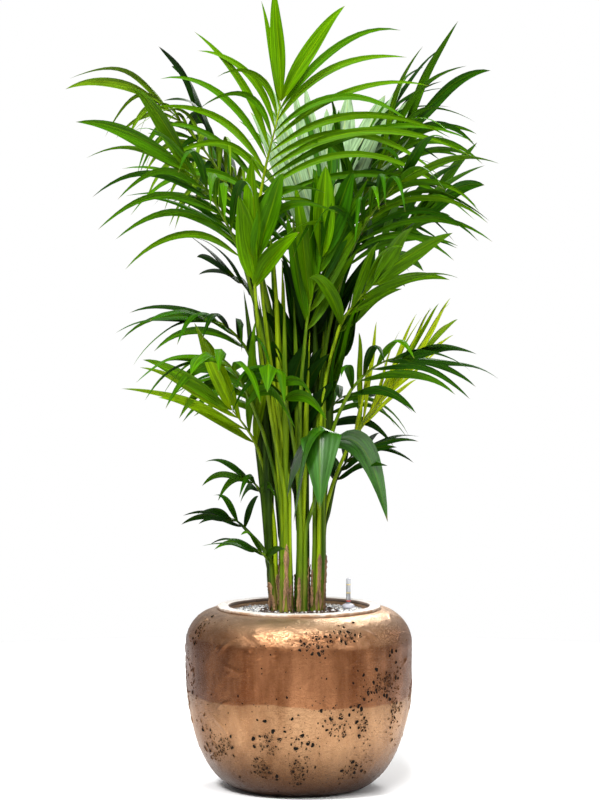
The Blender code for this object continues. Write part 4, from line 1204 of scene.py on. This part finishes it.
def painted_clump_shade(f):
    """Painted shade: 1 near the plant's axis under its crown, where light hardly comes, and 0 outside."""
    low = f.rest(f.between(f.axis(f.place, "Z"), CROWN_LOW, CROWN_HIGH))
    return f.times(f.rest(f.between(f.from_axis(), INSIDE, OUTSIDE)), low)


def leaf_finish(name, colour, roughness, gloss):
    """A ribbed blade: veins by a sine across it, with midrib, base, tip and mottle."""
    f = Finish(name, roughness, Specular_IOR_Level=gloss)
    across, along = f.axis(f.uv, "X"), f.axis(f.uv, "Y")
    from_rib = f.math("ABSOLUTE", f.math("SUBTRACT", across, 0.5))
    waves = f.math("SINE", f.times(across, FULL_TURN * VEINS))
    broad = f.rest(f.between(along, 0.45, 0.95))
    vein = f.times(f.plus(f.times(waves, 0.5), 0.5), broad)
    own_place = {0: f.stretch(f.uv, (1.0, 0.16, 1.0)), 1: f.stretch(f.place, (3.0, 3.0, 1.0))}
    mottle = f.noise(9.0, 4.0, f.add("ShaderNodeVectorMath", own_place, operation="ADD"), 0.6)
    deep = shade(colour, 0.50)
    base = f.mix(f.between(mottle, 0.28, 0.74), deep, shade(colour, 1.45))
    base = f.mix(f.times(vein, VEIN_SHARE), base, deep)
    yellow = (1.5 * colour[0] + 0.045, 1.15 * colour[1] + 0.045, 0.8 * colour[2])
    base = f.mix(f.times(f.rest(f.between(along, 0.0, 0.16)), 0.45), base, yellow)
    rib = f.rest(f.between(from_rib, 0.012, 0.045))
    base = f.mix(f.times(rib, MIDRIB_SHARE), base, yellow)
    dry = f.times(f.between(along, 0.955, 0.995), f.between(mottle, 0.45, 0.6))
    base = f.mix(dry, base, DRY_TIP)
    # Greens near the axis under the crown are mixed towards a darker copy: painted shade.
    f.set("Base Color", f.mix(f.times(painted_clump_shade(f), CLUMP_SHADE_SHARE), base, shade(colour, 0.16)))
    f.rough(mottle, roughness - 0.12, 0.24)
    f.bump(f.plus(f.times(vein, 0.7), f.times(rib, broad)), 0.0003, 0.6)
    return f.material


leaf_materials = {name: leaf_finish(f"leaf_{name}", colour, *(GLOSSY if name == "shiny" else SATIN))
                  for name, colour in GREENS.items()}
print("greens:", len(leaf_materials))

# %% Stalk and sheath finishes
def stalk_finish(name, low, high):
    """A smooth stalk: long streaks of two greens, browner and drier near the soil."""
    f = Finish(name, 0.40, Specular_IOR_Level=0.12)
    streak = f.noise(26.0, 4.0, f.stretch(f.place, (3.5, 3.5, 0.22)), 0.6)
    colour = f.mix(f.between(streak, 0.32, 0.7), low, high)
    near_soil = f.rest(f.between(f.axis(f.place, "Z"), 0.36, 0.46))
    brown = f.times(near_soil, f.between(streak, 0.42, 0.62))
    f.set("Base Color", f.mix(f.times(brown, 0.8), colour, (0.20, 0.115, 0.045)))
    fine = f.noise(150.0, 3.0, f.stretch(f.place, (2.0, 2.0, 0.2)))
    f.bump(f.plus(streak, fine), 0.0009, 0.4)
    return f.material


def sheath_finish():
    """Dry fibre: strands along the stem in tan and brown, with a coarse weave."""
    f = Finish("sheath_fibre", 0.82)
    strand = f.noise(60.0, 5.0, f.stretch(f.place, (2.4, 2.4, 0.30)), 0.65)
    cross = f.noise(150.0, 4.0, None, 0.7)
    colour = f.mix(f.between(strand, 0.3, 0.7), (0.070, 0.033, 0.013), (0.34, 0.19, 0.085))
    f.set("Base Color", f.mix(f.times(f.between(cross, 0.55, 0.75), 0.55), colour, (0.09, 0.045, 0.022)))
    f.bump(f.plus(strand, cross), 0.0016, 0.9)
    return f.material


sheath_fibre = sheath_finish()
stalk_materials = [stalk_finish("stalk_yellow_green", (0.075, 0.130, 0.001), (0.210, 0.300, 0.004)),
                   stalk_finish("stalk_green", (0.026, 0.066, 0.001), (0.105, 0.175, 0.003)),
                   stalk_finish("stalk_dark_green", (0.008, 0.022, 0.001), (0.034, 0.072, 0.002))]
print("stalk finishes:", len(stalk_materials))

# %% [markdown]
# ### Leaflets
#
# A leaflet's middle line is a quadratic curve: straight out from the rib at first,
# then bending down by its droop. The blade is a grid along and across this line. It is
# folded like a roof near the rib and opens out towards the middle, widens fast and
# tapers to a long point. Turning the first direction into each next one by the
# smallest turn keeps the blade from spinning. A small seeded twist and sideways sweep
# make every leaflet its own.

# %% The rule for one frond's leaflets, as arrays
STAGGER = 0.30
SPREAD_CHANCE = 6.0
LIFT = 16.0
LIFT_CHANCE = 9.0
END_LIFT = 8.0
LENGTH_CHANCE = 0.10
DROOP_CHANCE = 0.30
WIDTH_CHANCE = 0.12
BEND = 0.58
EARLY_BEND = 0.2
FEW_PAIRS = 4
FULLER = 1.4
FINER = 0.86


def rib_point(path, share):
    """Point and direction at a share of the rib between the crown and the tip."""
    place = PETIOLE_SPANS + share * RIB_SPANS
    low = min(int(place), len(path) - 2)
    return path[low].lerp(path[low + 1], place - low), (path[low + 1] - path[low]).normalized()


def frond_sides(frond, path, way):
    """The frond's side and upper directions, rolled about the rib."""
    lean = path[-1] - path[0]
    level = Vector((lean.y, -lean.x, 0.0)).normalized()
    side = (level - way * level.dot(way)).normalized()
    side.rotate(Matrix.Rotation(math.radians(frond.roll), 3, way))
    return side, side.cross(way).normalized()


def leaflet_rows(number, frond, path):
    """Root, directions, angles and size of each leaflet, as rows of numbers."""
    full = frond.pairs > FEW_PAIRS
    pairs = round(FULLER * frond.pairs) if full else frond.pairs
    rows = []
    for pair in range(pairs + 1):
        for hand in (0, 1):
            luck = [chance(number, pair, hand, draw) for draw in range(1, 9)]
            last = pair == pairs
            share = 1.0 if last else (pair + hand * STAGGER) / pairs
            root, way = rib_point(path, share)
            side, upper = frond_sides(frond, path, way)
            spread = frond.spread[0] + (frond.spread[1] - frond.spread[0]) * share
            lift, length, width = END_LIFT, frond.leaf * frond.end_leaf, frond.width * frond.end_width
            if not last:
                spread += SPREAD_CHANCE * luck[0]
                lift = LIFT + LIFT_CHANCE * luck[1]
                shorter = frond.taper[0] * (1.0 - share) ** 3 + frond.taper[1] * share * share
                length = frond.leaf * frond.sides[hand] * (1.0 - shorter) * (1.0 + LENGTH_CHANCE * luck[2])
                width = frond.width * (FINER if full else 1.0) * (1.0 + WIDTH_CHANCE * luck[3])
            outward = side if hand else -side
            droop = frond.droop * (frond.end_droop if last else 1.0) * (1.0 + DROOP_CHANCE * luck[4])
            rows.append([*root, *way, *outward, *upper, math.radians(spread), math.radians(lift),
                         length, width, droop, *luck[5:]])
    return np.array(rows)


# %% Blades from the rows
CURL = 0.05
TWIST = 0.45
SWEEP = 0.035
RIPPLE = 0.012
FOLD_AT_RIB = 52.0
FOLD_BEYOND = 13.0
LEAF_ROWS = 15
LEAF_COLUMNS = 7
DOWN = np.array([0.0, 0.0, -1.0])


def turned_to(vectors, start, end):
    """Vectors after the smallest turn that takes start to end, for arrays of directions."""
    axis = np.cross(start, end)
    cosine = np.einsum("...i,...i->...", start, end)[..., None]
    once = np.cross(axis, vectors)
    return vectors + once + np.cross(axis, once) / (1.0 + cosine)


def leaflet_grids(rows):
    """Blades as an array of grids (leaflet, along, across, xyz).

    The middle line is root + 2 t (1 - t) (middle - root) + t t (end - root). The half
    width follows sin(pi t^0.64)^0.8, and the fold falls with (1 - t)^3.
    """
    root, way, outward, upper = (rows[:, n:n + 3] for n in (0, 3, 6, 9))
    spread, lift, length, width, droop, twist, sweep, ripple = (rows[:, n:n + 1] for n in range(12, 20))
    out = outward * np.cos(lift) + upper * np.sin(lift)
    first = way * np.cos(spread) + out * np.sin(spread)
    last = unit(first + droop * DOWN)
    bend = BEND / (1.0 + EARLY_BEND * droop)
    to_middle, to_end = first * length * bend, last * length * (1.0 - bend)
    t = np.linspace(0.0, 1.0, LEAF_ROWS)[None, :, None]
    line = root[:, None] + 2.0 * t * (1.0 - t) * to_middle[:, None] + t * t * (to_middle + to_end)[:, None]
    heading = unit(to_middle[:, None] + (to_end - to_middle)[:, None] * t)
    across = np.broadcast_to(unit(np.cross(first, upper))[:, None], heading.shape)
    across = turned_to(across, np.broadcast_to(first[:, None], heading.shape), heading)
    face = np.cross(across, heading)
    turn = TWIST * twist[:, None] * t
    across, face = (across * np.cos(turn) + face * np.sin(turn), face * np.cos(turn) - across * np.sin(turn))
    size, swing = length[:, None], sweep[:, None]
    wave = np.sin(FULL_TURN * (t + 0.5 * ripple[:, None])) * t * (1.0 - t) * 4.0
    curl = DOWN * CURL * (1.0 + swing) * t ** 5
    line = line + size * (across * SWEEP * swing * t * t + face * RIPPLE * wave + curl)
    half = 0.5 * width[:, None] * np.maximum(1.08 * np.sin(np.pi * t ** 0.64) ** 0.8, 0.12 * (1.0 - t))
    fold = np.radians(FOLD_AT_RIB * (1.0 - t) ** 3 + FOLD_BEYOND)
    s = np.linspace(-1.0, 1.0, LEAF_COLUMNS)[None, None, :, None]
    half, fold = half[..., None, :], fold[..., None, :]
    return (line[:, :, None] + across[:, :, None] * half * s * np.cos(fold)
            - face[:, :, None] * half * np.abs(s) * np.sin(fold))


# %% Grow every frond: its leaflets and its stalk
SHADE_LIMITS = (0.1, 0.6)
STALK_OF_TONE = {"bright": 0, "light": 0, "young": 0, "dark": 2}
leaf_count = 0
for number, frond in enumerate(FRONDS):
    rows = leaflet_rows(number, frond, PATHS[number])
    short = frond.name.replace("frond_", "")
    shades = [leaf_materials[green] for green in TONES[frond.tone]]
    blades = add_piece(f"leaflets_{short}", leaflet_grids(rows), shades,
                       picks=np.searchsorted(SHADE_LIMITS, rows[:, 18]))
    green = stalk_materials[STALK_OF_TONE.get(frond.tone, 1)]
    stalk = add_piece(f"stalk_{short}", stalk_points[number][None], [green], wrap=True)
    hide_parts(frond.name)
    leaf_count += len(rows)
print("leaflets:", leaf_count)

# %% [markdown]
# ### Spears
#
# A palm pushes each new frond up through its clump while it is still shut: a narrow
# pleated blade called a spear. The photograph shows several between the stalks. A
# spear starts at the top of a stem and follows a curve: straight up at first, then
# leaning towards its own tip. Its section is a flat oval with eight pleats, drawn as
# waves round the oval, and it tapers to a point.

# %% Shut young fronds between the stalks
SPEARS = (
    # stem, then x, y and height of the tip, half width, number of the stalk finish
    (1, -0.052, -0.050, 1.110, 0.0085, 0), (1, -0.030, -0.062, 1.040, 0.0070, 1),
    (1, -0.082, -0.030, 1.000, 0.0085, 2), (2, -0.060, 0.020, 1.150, 0.0080, 1),
    (2, -0.034, 0.006, 1.080, 0.0080, 0), (2, -0.094, 0.030, 0.980, 0.0110, 2),
    (0, -0.076, -0.030, 0.900, 0.0095, 2), (0, -0.070, 0.004, 0.820, 0.0085, 2),
    (3, -0.012, -0.050, 1.020, 0.0070, 1), (4, -0.020, 0.040, 1.120, 0.0100, 2),
    (4, 0.020, 0.060, 1.080, 0.0100, 2), (5, 0.056, -0.030, 0.960, 0.0075, 1),
    (6, 0.060, 0.050, 1.040, 0.0100, 2), (5, 0.030, -0.020, 1.060, 0.0080, 2),
    (3, 0.016, -0.030, 0.880, 0.0075, 2), (0, -0.112, 0.006, 1.010, 0.0130, 2),
    (2, -0.078, 0.040, 1.070, 0.0130, 2), (5, 0.080, 0.004, 0.980, 0.0120, 2),
    (4, -0.050, 0.050, 1.020, 0.0120, 2), (1, -0.066, -0.056, 0.900, 0.0060, 0),
    (3, 0.022, -0.050, 0.930, 0.0060, 0),
)
SPEAR_STEPS = 22
SPEAR_SIDES = 24
SPEAR_FLAT = 0.42
FOOT_REACH = 0.15
FOOT_SUNK = 0.02
PLEATS = 8.0
PLEAT_DEPTH = 0.16


def spear_points(row):
    """An oval tube up a bending line, pleated by waves and drawn to a point.

    The middle moves sideways by t^1.7 while it rises by t.
    """
    number, x, y, top, wide = row[:5]
    foot = np.array(CANES[number].top)
    high = np.array([x, y, top])
    low = foot + (high - foot) * (FOOT_REACH, FOOT_REACH, 0.0) - (0.0, 0.0, FOOT_SUNK)
    t = np.linspace(0.0, 1.0, SPEAR_STEPS)[:, None]
    line = low + (high - low) * np.concatenate([t ** 1.7, t ** 1.7, t], 1)
    turn = steps_round(SPEAR_SIDES)
    swell = np.clip(0.30 + 1.5 * t, 0.0, 1.0) * np.clip((1.0 - t) / 0.55, 0.0, 1.0) ** 0.8
    swell[0] = 0.0
    size = wide * swell * (1.0 + PLEAT_DEPTH * np.cos(PLEATS * turn))
    level, deep = size * np.cos(turn), SPEAR_FLAT * size * np.sin(turn)
    facing = 0.35 * math.sin(17.0 * x + 31.0 * top)
    return np.stack([line[:, :1] + level * math.cos(facing) - deep * math.sin(facing),
                     line[:, 1:2] + level * math.sin(facing) + deep * math.cos(facing),
                     np.broadcast_to(line[:, 2:], level.shape)], -1)


spear_grids = np.stack([spear_points(row) for row in SPEARS])
spear_picks = np.array([row[5] for row in SPEARS])
# Most spears take the near-black green: partly their own colour, partly painted shade that fills the gaps
# between the stalks.
spears = add_piece("spears", spear_grids, stalk_materials, wrap=True, picks=spear_picks)
print("spears:", len(SPEARS))

# %% [markdown]
# ### Stems and their sheaths
#
# Between the stalks of one stem there is an older core, and over them lie torn tongues
# of brown fibre, the remains of leaf sheaths. The core is a tapered tube. A tongue is
# part of a tube a little outside the bundle: its width shrinks towards a ragged top,
# and its lower edge is cut by an upturned V, as the photograph shows.

# %% Cores and torn sheaths
TONGUES = (
    # stem, angle round it, low and high end, half width as an angle
    (1, -1.50, 0.362, 0.500, 0.52), (1, -0.75, 0.362, 0.420, 0.30), (1, 1.2, 0.362, 0.455, 0.8),
    (1, 2.9, 0.380, 0.470, 0.5), (0, -2.2, 0.362, 0.420, 0.62), (0, 1.9, 0.362, 0.440, 0.8),
    (0, -0.9, 0.372, 0.436, 0.34), (2, 2.4, 0.362, 0.480, 0.8), (2, 0.9, 0.362, 0.450, 0.6),
    (3, -1.9, 0.362, 0.432, 0.36), (3, 0.3, 0.362, 0.470, 0.6), (4, 1.6, 0.362, 0.500, 0.9),
    (4, 0.2, 0.370, 0.450, 0.5), (4, 2.8, 0.362, 0.430, 0.6), (5, -1.35, 0.362, 0.478, 0.40),
    (5, -0.2, 0.362, 0.440, 0.34), (5, -2.4, 0.368, 0.446, 0.30), (6, 0.8, 0.362, 0.480, 0.8),
    (6, 2.2, 0.362, 0.450, 0.6), (6, -0.5, 0.380, 0.470, 0.4),
)
TONGUE_ROWS = 26
TONGUE_COLUMNS = 13
TONGUE_THICK = 0.0007
CORE_STEPS = 12
CORE_SIDES = 16


def cane_middle(number, heights):
    """Middle of a stem at given heights, on the same S-shaped line as its stalks."""
    cane = CANES[number]
    share = np.clip((heights - STALK_LOW) / (cane.top[2] - STALK_LOW), 0.0, 1.0)
    low, high = np.array(cane.place), np.array(cane.top[:2])
    return low + (high - low) * ease(share)[..., None], share


def tongue_points(row, u, v):
    """Part of a tube round a stem: an arc that narrows upwards, ragged at its edges.

    u runs across from -1 to 1, and v up from 0 to 1. The half width falls with
    sqrt(1 - v^4), and two sines of v fray it. A notch cuts the lower edge.
    """
    number, angle, low, high, wide = row
    frayed = 1.0 + 0.14 * np.sin(17.0 * v + number) + 0.10 * np.sin(41.0 * v + angle * 3.0)
    reach = wide * (1.0 - v ** 4.0) ** 0.5 * (0.78 + 0.22 * np.cos(9.0 * v + angle)) * frayed
    turn = angle + reach * u
    notch = 0.28 * (1.0 - v) ** 2 * np.clip(1.0 - np.abs(u) * 1.6, 0.0, 1.0)
    height = low + (high - low) * np.clip(v + notch, 0.0, 1.0)
    middle, share = cane_middle(number, height)
    bundle = petiole_ring(number) + STALK_THICK + (STALK_AT_TOP - STALK_THICK) * share
    creases = 0.0009 * np.sin(23.0 * turn + 60.0 * v) + 0.0007 * np.sin(47.0 * v)
    radius = bundle * 1.02 + 0.0009 + creases + 0.0012 * v ** 3
    return turned(radius, turn, height, (middle[..., 0], middle[..., 1]))


def core_points(number):
    """A tapered tube that fills the middle of a stem, closed at its top."""
    heights = np.linspace(STALK_LOW, CANES[number].top[2], CORE_STEPS)
    middle, share = cane_middle(number, heights)
    line = np.concatenate([middle, heights[:, None]], 1)[None]
    radius = petiole_ring(number) * (1.12 - 0.15 * share)
    radius[-1] = 0.0
    return tube_rings(line, radius[None], CORE_SIDES)


up, aside = np.linspace(0.0, 1.0, TONGUE_ROWS), np.linspace(-1.0, 1.0, TONGUE_COLUMNS)
tongue_v, tongue_u = np.meshgrid(up, aside, indexing="ij")
for number in range(len(CANES)):
    # Each core takes the near-black green: partly the core's own colour, partly painted shade between the
    # stalks.
    core = add_piece(f"core_{number + 1}", core_points(number), [stalk_materials[2]], wrap=True)
    mine = np.stack([tongue_points(row, tongue_u, tongue_v) for row in TONGUES if row[0] == number])
    tongues = add_piece(f"sheaths_{number + 1}", mine, [sheath_fibre])
    thick = tongues.modifiers.new("thickness", "SOLIDIFY")
    thick.thickness = TONGUE_THICK
    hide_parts(f"stem_{number + 1}")
print("sheath tongues:", len(TONGUES))

# %% [markdown]
# ## Floor, light and camera
#
# The setting is a plain white studio. The surround is white to the eye, but as light it
# is brighter above and behind than in front, so that the clump keeps its dark hollows.
# An even surround is simpler, but it makes every leaf look flat and pale. Four soft
# boxes give direction: a key from the upper left, a weaker fill from the right, a tall
# narrow strip in front that draws the bright line on the bowl, and one behind for the
# leaf edges. The camera stands six metres away with a long lens, which is what the
# photograph's mild perspective asks for.

# %% Floor and surround
PHOTO_TALL = 800
METRES_PER_PIXEL = 0.00202
CAMERA_AWAY = 6.0
CAMERA_HIGH = 1.07
AIM = (METRES_PER_PIXEL, 0.0, (789.5 - 0.5 * PHOTO_TALL) * METRES_PER_PIXEL)
SENSOR = 36.0
FLOOR_RADIUS = 2.4
FLOOR_SIDES = 64
FLOOR_HIGH = -0.0005
IN_FRONT = 0.22
BEHIND = ("Y", -0.1, 0.8, 0.50)
ABOVE = ("Z", 0.1, 0.9, 0.36)


def floor_finish():
    """A plain pale floor with the faintest unevenness."""
    f = Finish("studio_floor", 0.7)
    f.set("Base Color", f.mix(f.noise(1.2, 2.0), (0.93, 0.93, 0.93), (0.97, 0.97, 0.97)))
    return f.material


floor_mesh = bpy.data.meshes.new("floor")
edge = turned(FLOOR_RADIUS, steps_round(FLOOR_SIDES), FLOOR_HIGH)
floor_mesh.from_pydata(edge.tolist(), [], [tuple(range(FLOOR_SIDES))])
floor_mesh.materials.append(floor_finish())
floor = bpy.data.objects.new("floor", floor_mesh)
bpy.context.scene.collection.objects.link(floor)
print("floor radius:", FLOOR_RADIUS, "m")

# %% The white surround
def white_studio():
    """White for the eye, but as light brighter above and behind than in front."""
    world = bpy.data.worlds.new("white_studio")
    world.use_nodes = True
    nodes, links = world.node_tree.nodes, world.node_tree.links
    plain = nodes["Background"]
    plain.inputs["Color"].default_value = (1.0, 1.0, 1.0, 1.0)
    way = nodes.new("ShaderNodeSeparateXYZ")
    links.new(nodes.new("ShaderNodeTexCoord").outputs["Generated"], way.inputs[0])
    light = nodes.new("ShaderNodeMath")
    light.operation = "ADD"
    for number, (axis, low, high, share) in enumerate((BEHIND, ABOVE)):
        rise = nodes.new("ShaderNodeMapRange")
        rise.inputs["From Min"].default_value, rise.inputs["From Max"].default_value = low, high
        rise.inputs["To Min"].default_value, rise.inputs["To Max"].default_value = 0.5 * IN_FRONT, share
        links.new(way.outputs[axis], rise.inputs["Value"])
        links.new(rise.outputs[0], light.inputs[number])
    studio = nodes.new("ShaderNodeBackground")
    links.new(light.outputs[0], studio.inputs["Strength"])
    seen = nodes.new("ShaderNodeMixShader")
    links.new(nodes.new("ShaderNodeLightPath").outputs["Is Camera Ray"], seen.inputs[0])
    links.new(studio.outputs[0], seen.inputs[1])
    links.new(plain.outputs[0], seen.inputs[2])
    links.new(seen.outputs[0], nodes["World Output"].inputs["Surface"])
    return world


bpy.context.scene.world = white_studio()
bpy.context.scene.view_settings.view_transform = "Standard"
print("surround:", bpy.context.scene.world.name)

# %% Four soft boxes
SOFTBOXES = (
    # name, place, target, width, height, power
    ("key", (-1.7, -2.6, 3.6), (0.0, 0.0, 0.9), 0.9, 0.9, 210.0),
    ("fill", (2.8, -2.4, 2.0), (0.0, 0.0, 0.8), 1.2, 1.2, 45.0),
    ("strip", (0.10, -1.9, 2.9), (0.03, 0.0, 0.3), 0.26, 3.0, 105.0),
    ("back", (1.0, 3.0, 3.0), (0.0, 0.0, 0.9), 1.4, 1.4, 90.0),
)


def softbox(name, place, target, wide, tall, power):
    """A rectangular area light at a place, turned towards a target."""
    lamp = bpy.data.lights.new(name, "AREA")
    lamp.shape = "RECTANGLE"
    lamp.size, lamp.size_y, lamp.energy = wide, tall, power
    item = bpy.data.objects.new(name, lamp)
    item.location = place
    item.rotation_euler = (Vector(target) - Vector(place)).to_track_quat("-Z", "Y").to_euler()
    bpy.context.scene.collection.objects.link(item)


for box in SOFTBOXES:
    softbox(*box)
print("soft boxes:", len(SOFTBOXES))

# %% The camera
camera_data = bpy.data.cameras.new("camera")
camera_data.sensor_width = SENSOR
camera_data.lens = SENSOR * CAMERA_AWAY / (PHOTO_TALL * METRES_PER_PIXEL)
camera = bpy.data.objects.new("camera", camera_data)
camera.location = (METRES_PER_PIXEL, -CAMERA_AWAY, CAMERA_HIGH)
camera.rotation_euler = (Vector(AIM) - camera.location).to_track_quat("-Z", "Y").to_euler()
bpy.context.scene.collection.objects.link(camera)
bpy.context.scene.camera = camera
print("lens:", round(camera_data.lens, 1), "mm")

# %% [markdown]
# ## Finish
#
# The finished plant may stand a little proud of the imported one, because leaves are soft.

bpy.context.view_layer.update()
